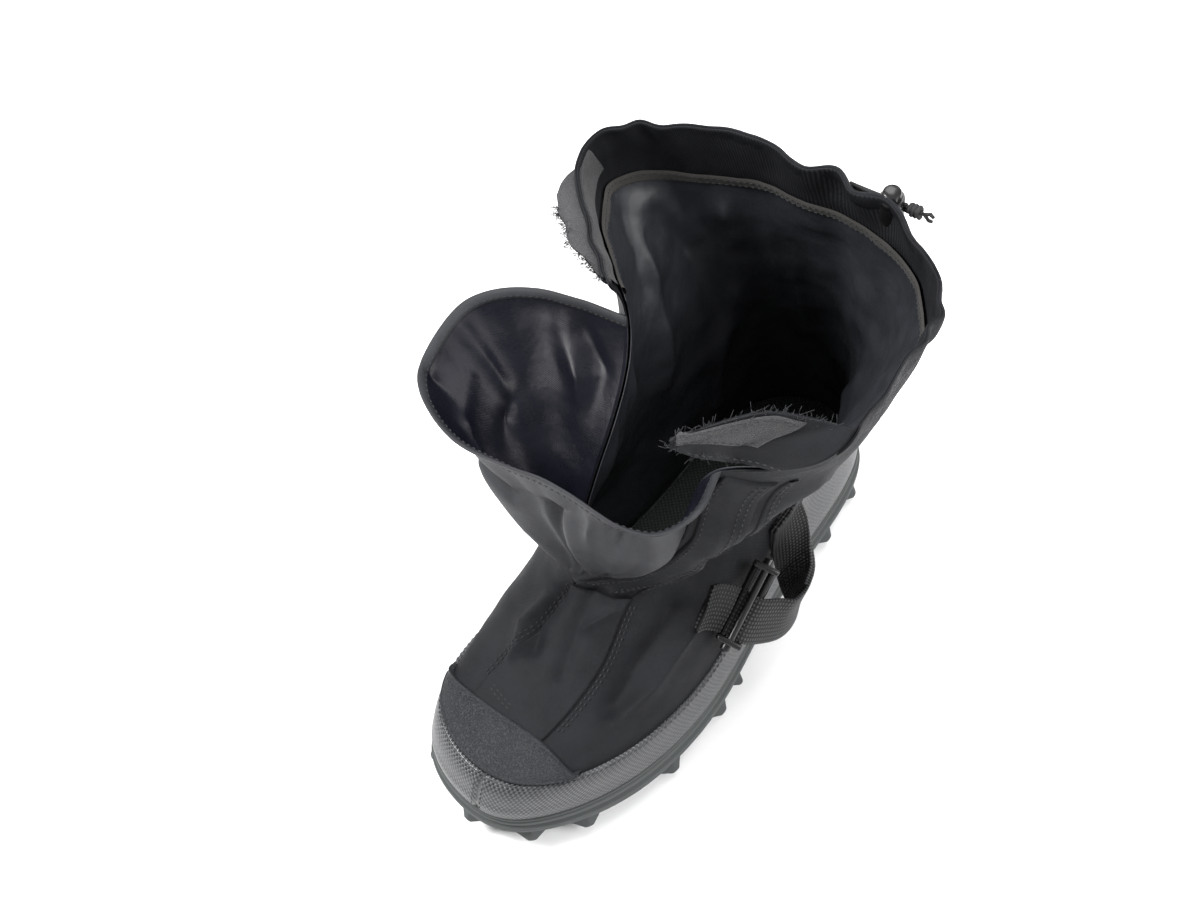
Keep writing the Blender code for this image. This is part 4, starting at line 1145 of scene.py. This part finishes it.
@dataclass
class FootOverlays:
    """Rand, toe cap, vamp panel and front placket, with their seams."""

    rand_thick: float = 0.0020
    cap_thick: float = 0.0024

    def rand(self, stitches: Stitching) -> None:
        """The textured band round the foot, with its toe seam and top stitching."""
        def lift(s: np.ndarray, t: np.ndarray) -> np.ndarray:
            """Full thickness, rolled at the top edge, pinched along the toe seam."""
            near = np.clip((1 - t) / 0.06, 0, 1)
            groove = np.exp(-((np.minimum(s, 1 - s) / 0.0022) ** 2))
            return 0.0003 + self.rand_thick * np.sqrt(1 - (1 - near) ** 2) - 0.0011 * groove

        place = surface((0.0, 1.0), lambda u: np.full(len(u), 0.05), rand_top, lift)
        done(link("rand_band", sheet_mesh("rand_band", 560, 40, place, close=True), RAND),
             "rand_rubber", "rand")
        u = np.linspace(0.0, 1.0, 41)
        stitches.on_upper(u, rand_top(u) - 0.10, self.rand_thick + 0.0004, 900)
        for side in (-1, 1):
            v = np.linspace(0.35, 1.75, 5)
            stitches.on_upper(np.full(5, 1.0 + side * 0.0045), v, self.rand_thick + 0.0004, 60)

    def cap(self, stitches: Stitching) -> None:
        """The pebbled toe cap with its raised piped rim."""
        def lift(s: np.ndarray, t: np.ndarray) -> np.ndarray:
            """A low crown, with a bead along the upper edge."""
            bead = np.exp(-(((1 - t) - 0.06) / 0.045) ** 2)
            bead = bead + 0.6 * np.exp(-((t - 0.05) / 0.05) ** 2)
            side = np.clip(np.minimum(s, 1 - s) / 0.03, 0, 1)
            edge = np.clip(np.minimum(t, 1 - t) / 0.05, 0, 1)
            crown = np.sqrt(1 - (1 - np.minimum(side, edge)) ** 2)
            return 0.0003 + (self.cap_thick + 0.0009 * bead) * crown

        place = surface((-0.112, 0.092), lambda u: np.full(len(u), 1.97), cap_top, lift)
        done(link("toe_cap_shell", sheet_mesh("toe_cap_shell", 200, 60, place), CAP),
             "cap_rubber", "toe_cap")
        u = np.linspace(-0.098, 0.078, 15)
        stitches.on_upper(u, cap_top(u) - 0.13, self.cap_thick + 0.0006, 260)

    def panel(self, stitches: Stitching) -> None:
        """The vamp's centre panel between its two topstitched seams."""
        def place(s: np.ndarray, t: np.ndarray) -> np.ndarray:
            """A thin layer with rolled side edges."""
            v = 2.86 + (5.02 - 2.86) * t
            inner, outer = panel_inner(v), panel_outer(v)
            u = inner + (outer - inner) * s
            low = cap_top(u) - 0.04
            v = low + (5.02 - low) * t
            u = panel_inner(v) + (panel_outer(v) - panel_inner(v)) * s
            near = np.clip(np.minimum(s, 1 - s) / 0.03, 0, 1)
            return FORM.point(u, v, 0.0001 + 0.0014 * np.sqrt(1 - (1 - near) ** 2))

        done(link("vamp_centre", sheet_mesh("vamp_centre", 110, 120, place), NYLON),
             "black_nylon", "vamp_panel")
        v = np.linspace(2.95, 4.95, 9)
        for shift in (0.004, 0.0085):
            stitches.on_upper(panel_outer(v) + shift, v, 0.0005, 200)
            stitches.on_upper(panel_inner(v) - shift * 0.8, v, 0.0005, 200)
        for row in (2.93, 3.00):
            stitches.on_upper(np.linspace(-0.044, -0.014, 4), np.full(4, row), 0.0014, 40)

    def seam_groove(self) -> None:
        """The outer seam that runs on from the vamp up the shaft beside the placket."""
        def place(s: np.ndarray, t: np.ndarray) -> np.ndarray:
            """A narrow lapped edge."""
            v = 5.0 + 2.95 * t
            edge = np.interp(v, [5.0, 5.5, 6.0, 7.0, 8.0], [0.070, 0.066, 0.062, 0.060, 0.062])
            u = edge + 0.010 * s
            near = np.clip(np.minimum(s, 1 - s) / 0.3, 0, 1)
            return FORM.point(u, v, 0.0001 + 0.0010 * np.sqrt(1 - (1 - near) ** 2))

        done(link("side_seam_lap", sheet_mesh("side_seam_lap", 10, 120, place), NYLON),
             "black_nylon")

    def placket(self, stitches: Stitching) -> None:
        """The stitched band along the outer front edge."""
        place = surface((0.008, 0.054), lambda u: np.full(len(u), 5.16),
                        lambda u: np.full(len(u), 7.95), edge_roll(0.0017, 0.06, 0.03))
        done(link("placket_band", sheet_mesh("placket_band", 26, 130, place), NYLON),
             "black_nylon", "front_placket")
        v = np.linspace(5.25, 7.90, 8)
        for u in (0.013, 0.040, 0.046):
            stitches.on_upper(np.full(8, u), v, 0.0021, 220)
        stitches.on_upper(np.full(8, 0.067), v, 0.0014, 220)
        stitches.on_upper(np.full(8, 0.0715), v, 0.0010, 220)

    def build(self, stitches: Stitching) -> None:
        """Makes every overlay of the foot."""
        self.rand(stitches)
        self.cap(stitches)
        self.panel(stitches)
        self.seam_groove()
        self.placket(stitches)


@dataclass
class Gusset:
    """The coated bellows sheet that closes the slit and hangs open."""

    foot: float = 0.02
    flare: float = 1.45
    cloth: float = 0.0007
    rim: tuple = (
        (-84, 15, 212), (-112, -6, 206), (-111, -40, 202), (-98, -63, 200), (-66, -77, 200),
        (-36, -77, 203), (-13, -74, 205), (9, -73, 205), (33, -73, 203), (50, -64, 200),
        (58, -44, 201),
    )
    folds: tuple = ((0.45, 0.05, -0.16), (0.60, 0.04, 0.10), (0.80, 0.05, -0.18))
    creases: tuple = (
        Crease(((-102, -46, 183), (-78, -62, 178), (-37, -72, 170), (3, -76, 186)),
               .0050, -.0060, .8),
        Crease(((-60, -64, 172), (-30, -66, 146), (-6, -60, 120)), .0055, .0050, .8),
        Crease(((-10, -74, 180), (-4, -68, 150), (-2, -60, 118)), .0050, -.0070, .7),
        Crease(((14, -72, 192), (8, -66, 155), (0, -60, 118)), .0045, .0035, .9),
        Crease(((30, -70, 190), (18, -62, 150), (6, -58, 120)), .0050, -.0050, .7),
        Crease(((-52, 8, 207), (-31, 2, 195), (-28, -6, 176)), .0060, .0045, .9),
        Crease(((-66, 4, 205), (-44, -4, 188), (-30, -14, 165)), .0060, -.0045, .6),
        Crease(((-70, -17, 188), (-71, -29, 176), (-66, -44, 162)), .0055, .0040, .9),
        Crease(((-101, -49, 197), (-92, -52, 184), (-80, -58, 172)), .0060, .0040, .8),
        Crease(((-88, -36, 190), (-76, -60, 180)), .0050, -.0035, .8),
        Crease(((-105, -20, 202), (-80, -24, 180), (-50, -30, 150)), .0070, -.0030, .5),
    )

    def seam(self, side: int, v: np.ndarray) -> Points:
        """Where the sheet meets the slit: side 0 is the outer edge and 1 the inner."""
        return FORM.point(np.full(len(v), float(side)), v, -0.0006)

    def place(self, s: np.ndarray, t: np.ndarray) -> Points:
        """A point of the sheet: s from the inner edge to the outer, t from throat to rim."""
        t = self.foot + (1 - self.foot) * t
        v = THROAT_RING + (8 - THROAT_RING) * t
        medial, lateral = self.seam(1, v), self.seam(0, v)
        top_medial, top_lateral = self.seam(1, np.array([8.0]))[0], self.seam(0, np.array([8.0]))[0]
        rim = [top_medial, *(np.array(self.rim, float) / 1000), top_lateral]
        on_rim = smooth_rows(rim, s * (len(rim) - 1))
        across = s[:, None]
        chord = medial + (lateral - medial) * across
        chord_top = top_medial + (top_lateral - top_medial) * across
        wave = sum(d * np.exp(-(((s - c) / w) ** 2)) for c, w, d in self.folds)
        bulge = (on_rim - chord_top) * (t**self.flare)[:, None]
        return chord + bulge * (1 + wave * 4 * t * (1 - t))[:, None]

    def folded(self, s: np.ndarray, t: np.ndarray) -> Points:
        """The sheet with its creases, pushed along its own normal."""
        points = self.place(s, t)
        h = 0.004
        along = self.place(np.minimum(s + h, 1), t) - self.place(np.maximum(s - h, 0), t)
        up = self.place(s, np.minimum(t + h, 1)) - self.place(s, np.maximum(t - h, 0))
        normal = unit(np.cross(along, up))
        rise = sum(crease.rise(points) for crease in self.creases)
        rise = rise + 0.0010 * NOISE(points + 1.0, 0.034) + 0.0003 * NOISE(points, 0.013)
        held = np.clip(np.minimum(s, 1 - s) / 0.04, 0, 1) * np.clip(t / 0.10, 0, 1)
        return points + normal * (rise * held)[:, None]

    def build(self, stitches: Stitching) -> None:
        """Makes the sheet, its bound rim and its stitches."""
        mesh = sheet_mesh("gusset_sheet", 240, 130, self.folded)
        sheet = wall(link("gusset_sheet", mesh, GUSSET_OUTER), self.cloth, 0.0, GUSSET_INNER)
        done(sheet, "coated_nylon", "gusset")
        height = travel(self.folded(np.full(60, 0.5), np.linspace(0, 1, 60)))
        s = np.linspace(0.0, 1.0, 320)
        rim = self.folded(s, np.ones(len(s)))
        below = self.folded(s, np.full(len(s), 0.955))
        down = unit(below - rim)
        along = unit(np.gradient(rim, axis=0))
        out = unit(np.cross(along, -down))

        def roll(a: np.ndarray, b: np.ndarray) -> np.ndarray:
            """A flat oval tape over the rim."""
            row = np.rint(a * (len(s) - 1)).astype(int)
            angle = 2 * math.pi * b
            drop = 0.0024 - 0.0034 * np.cos(angle)
            side = 0.0011 * np.sin(angle)
            return rim[row] + down[row] * drop[:, None] + out[row] * side[:, None]

        mesh = capped(sheet_mesh("gusset_rim_tape", len(s) - 1, 10, roll, close_up=True))
        tape = done(link("gusset_rim_tape", mesh, GUSSET_OUTER), "coated_nylon")
        for side in (0.0012, -0.0012):
            stitches.along(rim + down * 0.0040 + out * side, out * np.sign(side))


@dataclass
class ClosureFlap:
    """The hook-and-loop flap at the collar's outer front corner."""

    low: float = 8.35
    table: tuple = (
        (66.0, -34.5, 238.0, 93.0, -11.0, 265.0),
        (57.0, -44.0, 244.0, 74.0, -23.0, 267.0),
        (47.0, -52.0, 252.0, 48.0, -50.0, 257.0),
    )

    def place(self, s: np.ndarray, t: np.ndarray) -> Points:
        """A point of the flap: s across from its low edge to its high edge, t out to the tip."""
        inner = FORM.point(np.zeros(len(s)), self.low + (RIM_RING - self.low) * s, -0.0006)
        rows = np.array(self.table) / 1000
        lines = [inner] + [row[:3] + (row[3:] - row[:3]) * s[:, None] for row in rows]
        stack = np.stack(lines)
        place = t * (len(lines) - 1)
        low = np.minimum(place.astype(int), len(lines) - 2)
        f = (place - low)[:, None]
        index = np.arange(len(s))

        def pick(k: np.ndarray) -> np.ndarray:
            """The line's point at a clamped station."""
            return stack[np.clip(k, 0, len(lines) - 1), index]

        a, b = pick(low), pick(low + 1)
        slope_a, slope_b = (b - pick(low - 1)) / 2, (pick(low + 2) - a) / 2
        points = (
            (2 * f**3 - 3 * f**2 + 1) * a + (f**3 - 2 * f**2 + f) * slope_a
            + (3 * f**2 - 2 * f**3) * b + (f**3 - f**2) * slope_b
        )
        wave = 0.0016 * NOISE(points + 5.0, 0.018) + 0.0009 * np.sin(9 * s + 14 * t)
        return points + np.array([-0.35, -0.45, 0.80]) * (wave * np.clip(t * 5, 0, 1))[:, None]

    def build(self, stitches: Stitching) -> None:
        """Makes the flap, its hook patch, its stitches and its fray."""
        mesh = sheet_mesh("flap_cloth", 50, 70, self.place)
        flap = done(wall(link("flap_cloth", mesh, NYLON), 0.0016, 0.0), "black_nylon",
                    "closure_flap")
        ones = np.ones(40)
        steps = np.linspace(0, 1, 40)
        width = max(travel(self.place(steps, ones * t)) for t in (0.0, 0.33, 0.66, 1.0))
        length = max(travel(self.place(ones * s, steps)) for s in (0.0, 0.5, 1.0))

        def normals(s: np.ndarray, t: np.ndarray) -> np.ndarray:
            """Upward direction of the flap."""
            h = 0.01
            a = self.place(np.minimum(s + h, 1), t) - self.place(np.maximum(s - h, 0), t)
            b = self.place(s, np.minimum(t + h, 1)) - self.place(s, np.maximum(t - h, 0))
            n = unit(np.cross(a, b))
            return n * np.sign(n[:, 2:3] + 1e-9)

        def patch(s: np.ndarray, t: np.ndarray) -> np.ndarray:
            """The hook patch on the flap's upper face."""
            a, b = 0.34 + 0.60 * s, 0.30 + 0.66 * t
            near_s, near_t = np.minimum(s, 1 - s) / 0.05, np.minimum(t, 1 - t) / 0.04
            edge = np.clip(np.minimum(near_s, near_t), 0, 1)
            return self.place(a, b) + normals(a, b) * (0.0010 + 0.0012 * np.sqrt(edge))[:, None]

        done(link("flap_hook_patch", sheet_mesh("flap_hook_patch", 36, 50, patch), HOOK),
             "hook_tape")
        for s, t0, t1 in ((0.40, 0.34, 0.92), (0.88, 0.34, 0.88), (0.12, 0.05, 0.85)):
            t = np.linspace(t0, t1, 60)
            line_s = np.full(60, s)
            n = normals(line_s, t)
            stitches.along(self.place(line_s, t) + n * 0.0025, n)
        rng = np.random.default_rng(5)
        fibres = []
        for _ in range(190):
            a, b = (rng.uniform(0.94, 1.0), rng.uniform(0.15, 1.0))
            if rng.random() < 0.35:
                a, b = rng.uniform(0.0, 0.06), rng.uniform(0.25, 1.0)
            start = self.place(np.array([a]), np.array([b]))[0]
            way = unit(rng.normal(size=3) * 0.7 + np.array([0.0, 0.6 if a > 0.5 else -0.6, 0.5]))
            long = rng.uniform(0.0015, 0.0045)
            curl = rng.normal(size=3) * 0.0012
            fibres.append([start, start + way * long / 2, start + way * long + curl])
        done(tubes("flap_fray", fibres, 0.00012, THREAD), "hook_tape")


@dataclass
class SideStrap:
    """The webbing strap on the outer side, its front loop, slider and sewn root."""

    width: float = 0.026
    thick: float = 0.0018
    route: tuple = (
        (58.7, -16.4, 81.0, -.055, .86, .51), (62.9, -15.3, 79.6, -.055, .86, .51),
        (68.4, -13.8, 77.7, -.055, .86, .51), (74.1, -3.6, 70.6, -.02, .70, .71),
        (77.7, 4.8, 65.6, .05, .40, .92), (77.7, 13.8, 62.8, .09, .18, .98),
        (75.5, 22.2, 61.8, .20, .15, .97), (67.9, 30.8, 63.5, .42, .42, .80),
        (60.2, 37.5, 69.0, .42, .60, .68), (54.3, 41.0, 80.0, .25, .87, .42),
        (51.0, 42.0, 90.0, .02, .93, .36), (51.0, 42.0, 98.0, .02, .93, .36),
    )
    front: tuple = (
        (56.9, -16.9, 81.6, -.055, .86, .51), (54.4, -18.6, 83.6, -.10, .86, .50),
        (50.4, -23.0, 87.0, -.15, .85, .49), (48.6, -28.0, 89.0, -.18, .85, .49),
    )
    axis: tuple = (-.055, .86, .51)
    run: tuple = (.788, .205, -.264)
    centre: tuple = (.06254, -.00972, .08291)
    pitch: float = 0.0045
    rod: float = 0.0045
    long: float = 0.046

    def course(self, table: Sequence, shift: float = 0.0, bulge: float = 0.0) -> Place:
        """The webbing's middle face through stations of centre and edge direction.

        Args:
            table: the stations.
            shift: distance off the course, towards the shoe where positive.
            bulge: how far the middle of the run stands off, away from the shoe.

        Returns:
            The place function: s across the webbing and t along it.
        """
        rows = np.array(table, float)

        def place(s: np.ndarray, t: np.ndarray) -> np.ndarray:
            """Crosses the strap with s and follows it with t."""
            row = smooth_rows(rows, t * (len(rows) - 1))
            edge = unit(row[:, 3:]) * self.width
            ahead = smooth_rows(rows, t * (len(rows) - 1) + 0.05)[:, :3]
            behind = smooth_rows(rows, t * (len(rows) - 1) - 0.05)[:, :3]
            out = unit(np.cross(edge, ahead - behind))
            curl = shift + 0.0004 * np.cos(2 * math.pi * (s - 0.5)) - bulge * np.sin(math.pi * t)
            return row[:, :3] / 1000 + edge * (s - 0.5)[:, None] + out * np.reshape(curl, (-1, 1))

        return place

    def ribbon(self, name: str, place: Place, columns: int) -> bpy.types.Object:
        """Webbing along a course, with its thickness."""
        mesh = sheet_mesh(name, 16, columns, place)
        return wall(link(name, mesh, WEBBING, 50.0), self.thick * 0.94, 0.0)

    def across(self, stitches: Stitching, place: Place, t: float) -> None:
        """One line of stitches across the webbing's inner face."""
        s = np.linspace(0.08, 0.92, 30)
        here, ahead = place(s, np.full(30, t)), place(s, np.full(30, t + 0.01))
        normals = unit(np.cross(np.gradient(here, axis=0), ahead - here))
        stitches.along(here + normals * (self.thick / 2 + 0.0002), normals)

    def slider(self) -> None:
        """The moulded slider: three bars with rounded ends between two side plates."""
        place = frame_matrix(self.centre, self.run, self.axis)
        side = self.thick / 2 + CLEARANCE + self.rod / 2
        work = bmesh.new()
        for x, y, radius in ((-self.pitch, side, 1.0), (self.pitch, side, 1.0), (0.0, -side, 0.9)):
            bmesh.ops.create_cone(
                work, cap_ends=True, segments=20, radius1=self.rod / 2 * radius,
                radius2=self.rod / 2 * radius, depth=self.long - 0.002,
                matrix=place @ Matrix.Translation((x, y, 0)),
            )
        for sign in (-1, 1):
            piece = bmesh.new()
            bmesh.ops.create_cube(
                piece, size=1.0,
                matrix=place @ Matrix.Translation((0, 0, sign * (self.long - 0.003) / 2))
                @ Matrix.Diagonal((2 * self.pitch + self.rod + 0.0006, 2 * side + self.rod + 0.0006,
                                   0.0034, 1.0)),
            )
            soften(piece, 0.0011, 3)
            absorb(work, piece)
        for sign in (-1, 1):
            piece = bmesh.new()
            bmesh.ops.create_cone(
                piece, cap_ends=True, segments=18, radius1=0.0030, radius2=0.0026, depth=0.006,
                matrix=place @ Matrix.Translation((0, side * 0.4, sign * (self.long / 2 + 0.0005))),
            )
            soften(piece, 0.0004, 2)
            absorb(work, piece)
        done(link("slider_dressed", from_bmesh("slider_dressed", work), PLASTIC, 40.0),
             "black_plastic", "strap_slider")

    def root(self, stitches: Stitching) -> None:
        """The sewn webbing root under the shaft's overhang, with two stitch lines across it."""
        def place(s: np.ndarray, t: np.ndarray) -> np.ndarray:
            """A doubled piece of webbing on the rand and the cloth."""
            u = 0.273 + 0.038 * s
            near = np.clip(np.minimum(np.minimum(s, 1 - s), np.minimum(t, 1 - t)) / 0.06, 0, 1)
            return FORM.point(u, 3.75 + 0.75 * t, 0.0002 + 0.0012 * np.sqrt(near))

        done(link("strap_root", sheet_mesh("strap_root", 24, 34, place), WEBBING), "webbing")
        for v in (3.80, 4.40):
            stitches.on_upper(np.linspace(0.276, 0.308, 5), np.full(5, v), 0.0016, 60)

    def build(self, stitches: Stitching) -> None:
        """Makes the strap's pieces."""
        done(self.ribbon("strap_webbing_run", self.course(self.route), 150), "webbing", "strap")
        ply = self.course(self.route[6:], self.thick)
        done(self.ribbon("strap_inner_ply", ply, 60), "webbing")
        for t in (0.16, 0.20, 0.24, 0.28, 0.32):
            self.across(stitches, ply, t)
        done(self.ribbon("strap_front_loop", self.course(self.front), 24), "webbing", "strap_front")
        outer = self.course(self.front[1:], -self.thick, 0.0014)
        done(self.ribbon("strap_front_outer", outer, 24), "webbing")
        self.slider()
        self.root(stitches)


@dataclass
class DrawCord:
    """The collar's cord: two strands through a spring lock to a knot."""

    diameter: float = 0.0024
    pitch: float = 0.0032
    route: tuple = (
        (27.0, 126.4, 257.0), (34.0, 126.8, 257.0), (42.0, 127.5, 257.0), (50.0, 128.6, 256.8),
        (58.0, 129.7, 256.6),
    )
    lock: tuple = (.0500, .1286, .2532)
    lock_axis: tuple = (.22, -.12, .96)
    lock_size: tuple = (.0130, .0180)
    button_size: tuple = (.0100, .0040)
    length: float = 0.0312

    def turned(self, name: str, profile: Sequence, place: Matrix) -> bpy.types.Object:
        """A turned shape from a profile of radius and height, spun about its axis."""
        work = bmesh.new()
        verts = [work.verts.new(Vector((radius, 0, height))) for radius, height in profile]
        edges = [work.edges.new(pair) for pair in zip(verts, verts[1:])]
        bmesh.ops.spin(work, geom=verts + edges, cent=(0, 0, 0), axis=(0, 0, 1),
                       angle=2 * math.pi, steps=32, use_merge=True)
        bmesh.ops.remove_doubles(work, verts=work.verts, dist=MERGE)
        bmesh.ops.holes_fill(work, edges=work.edges, sides=0)
        bmesh.ops.recalc_face_normals(work, faces=work.faces)
        bmesh.ops.transform(work, matrix=place, verts=work.verts)
        return link(name, from_bmesh(name, work), PLASTIC, 35.0)

    def build(self) -> None:
        """Makes the cord, its lock, its button and its knot."""
        route = np.array(self.route) / 1000
        dense = smooth_rows(route, np.linspace(0, len(route) - 1, 24))
        half_w, half_l = self.lock_size[0] / 2, self.lock_size[1] / 2
        axis = Vector(self.lock_axis).normalized()
        run = Vector(route[3] - route[2])
        place = frame_matrix(self.lock, run, axis)
        barrel = self.turned("lock_barrel_dressed", (
            (0, -half_l), (half_w * .80, -half_l), (half_w * .95, -half_l * .93),
            (half_w, -half_l * .80), (half_w, half_l * .55), (half_w * .97, half_l * .62),
            (half_w * 1.0, half_l * .70), (half_w * .99, half_l * .90), (half_w * .90, half_l),
            (half_w * .78, half_l), (half_w * .76, half_l * .90), (0, half_l * .90)), place)
        lift = half_l + CLEARANCE
        b_w, b_l = self.button_size[0] / 2, self.button_size[1]
        button = self.turned("lock_button_dressed", (
            (0, -.0010), (b_w * .92, -.0010), (b_w * .96, 0), (b_w * .96, b_l * .70),
            (b_w * .90, b_l * .92), (b_w * .78, b_l), (b_w * .60, b_l * .90), (0, b_l * .82)),
            place @ Matrix.Translation((0, 0, lift)))
        end = route[-1]
        ahead = unit(route[-1] - route[-2])
        side = unit(np.cross(ahead, np.array([0, 0, 1.0])))
        top = np.cross(side, ahead)
        t = np.linspace(0, 2 * math.pi * 3, 60)
        coil = np.array([
            end + ahead * (0.0012 + 0.0062 * k / (2 * math.pi * 3))
            + (side * math.cos(k) + top * math.sin(k)) * 0.0024 for k in t
        ])
        knot = tube("knot_dressed", coil, 0.00125, CORD)
        core = [end + ahead * 0.0005, end + ahead * 0.009]
        tips = tubes("cord_tips", [
            core,
            [core[1], core[1] + ahead * 0.003 + top * 0.0016, core[1] + ahead * 0.005],
            [core[1], core[1] + ahead * 0.0026 - top * 0.0018 + side * 0.001,
             core[1] + ahead * 0.0044 - top * 0.003],
        ], 0.0011, CORD)
        done(barrel, "black_plastic", "cord_lock_barrel")
        done(button, "black_plastic", "cord_lock_button")
        done(knot, "cord", "cord_knot")
        done(tips, "cord")
        for name, sign in (("drawcord_upper", 0.5), ("drawcord_lower", -0.5)):
            line = dense + np.array([0, 0, sign * self.pitch])
            strand = tube(name + "_strand", line, self.diameter / 2, CORD)
            done(strand, "cord", name)
            tuple(line[0])


@dataclass
class Insole:
    """The ribbed footbed deep inside."""

    thick: float = 0.003

    def build(self) -> None:
        """Makes the footbed with its cross ribs."""
        rings = (
            (0.0, 0.0), (0.5, 0.0), (0.92, 0.0), (0.985, -0.0006), (1.0, -0.0015), (1.0, -0.003),
        )

        def place(s: np.ndarray, t: np.ndarray) -> np.ndarray:
            """From the middle out to the edge, then down."""
            keep, drop = np.array(rings)[np.rint(t * (len(rings) - 1)).astype(int)].T
            plan = SOLE.outline(s, UPPER_INSET + 0.004) * keep[:, None]
            z = np.full(len(s), SOLE_TOP + CLEARANCE + self.thick) + drop
            return np.stack([*plan.T, z], 1)

        mesh = sheet_mesh("footbed", 160, len(rings) - 1, place, close=True)
        uv = mesh.uv_layers[0].data
        for loop in mesh.loops:
            co = mesh.vertices[loop.vertex_index].co
            uv[loop.index].uv = (co.x, co.y)
        done(link("footbed", capped(mesh), FELT, 40.0), "insole_felt", "insole")


@dataclass
class Studio:
    """The camera, the pale floor and the soft lights."""

    azimuth: float = 40.5
    elevation: float = 52.8
    roll: float = -4.3
    place: tuple = (0.393, -0.505, 1.004)
    lens: float = 63.0
    sensor: float = 36.0

    def camera(self) -> None:
        """Sets the camera at the photograph's angle."""
        az, el, turn = (math.radians(a) for a in (self.azimuth, self.elevation, self.roll))
        back = Vector((math.sin(az) * math.cos(el), -math.cos(az) * math.cos(el), math.sin(el)))
        right = Vector((math.cos(az), math.sin(az), 0))
        up = back.cross(right)
        x = right * math.cos(turn) + up * math.sin(turn)
        y = up * math.cos(turn) - right * math.sin(turn)
        matrix = Matrix((x, y, back)).transposed().to_4x4()
        matrix.translation = Vector(self.place)
        data = bpy.data.cameras.new("camera")
        data.lens, data.sensor_width = self.lens, self.sensor
        data.clip_start, data.clip_end = 0.05, 20
        camera = into_scene(bpy.data.objects.new("camera", data))
        camera.matrix_world = matrix
        bpy.context.scene.camera = camera

    def floor(self) -> None:
        """A plain pale floor."""
        work = bmesh.new()
        bmesh.ops.create_grid(work, x_segments=1, y_segments=1, size=6.0)
        mesh = from_bmesh("floor", work)
        made = bpy.data.materials.new("pale_floor")
        made.use_nodes = True
        shader = made.node_tree.nodes["Principled BSDF"]
        shader.inputs["Base Color"].default_value = (0.93, 0.93, 0.935, 1.0)
        shader.inputs["Roughness"].default_value = 0.65
        mesh.materials.append(made)
        item = into_scene(bpy.data.objects.new("floor", mesh))
        item.location.z = -0.0002

    def light(self, name: str, place: tuple, size: float, power: float) -> None:
        """One soft box, turned to the shoe."""
        data = bpy.data.lights.new(name, "AREA")
        data.size, data.energy = size, power
        item = into_scene(bpy.data.objects.new(name, data))
        item.location = place
        aim = Vector((0, 0, 0.1)) - Vector(place)
        item.rotation_euler = aim.to_track_quat("-Z", "Y").to_euler()

    def build(self) -> None:
        """Makes the studio."""
        self.camera()
        self.floor()
        self.light("key_left", (-0.9, -0.7, 1.3), 0.6, 45)
        self.light("fill_right", (1.2, 0.2, 1.0), 0.7, 21)
        self.light("top", (0.0, 0.5, 1.8), 1.2, 30)
        world = bpy.data.worlds.new("studio")
        world.use_nodes = True
        world.node_tree.nodes["Background"].inputs[0].default_value = (1.0, 1.0, 1.0, 1.0)
        world.node_tree.nodes["Background"].inputs[1].default_value = 0.60
        bpy.context.scene.world = world
        bpy.context.scene.view_settings.view_transform = "Standard"


def main() -> None:
    """Builds every piece and hands it to the frame."""
    logging.basicConfig(level=logging.INFO, format="%(name)s %(message)s")
    Studio().build()
    DrawCord().build()
    stitches = Stitching("topstitching")
    Outsole().build()
    Insole().build()
    Shaft().build(stitches)
    FootOverlays().build(stitches)
    Gusset().build(stitches)
    ClosureFlap().build(stitches)
    SideStrap().build(stitches)
    done(stitches.finish(), "black_nylon")
    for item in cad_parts.values():
        if not item.hide_render:
            LOG.info("still shown: %s", item.name)


if __name__ == "__main__":
    main()
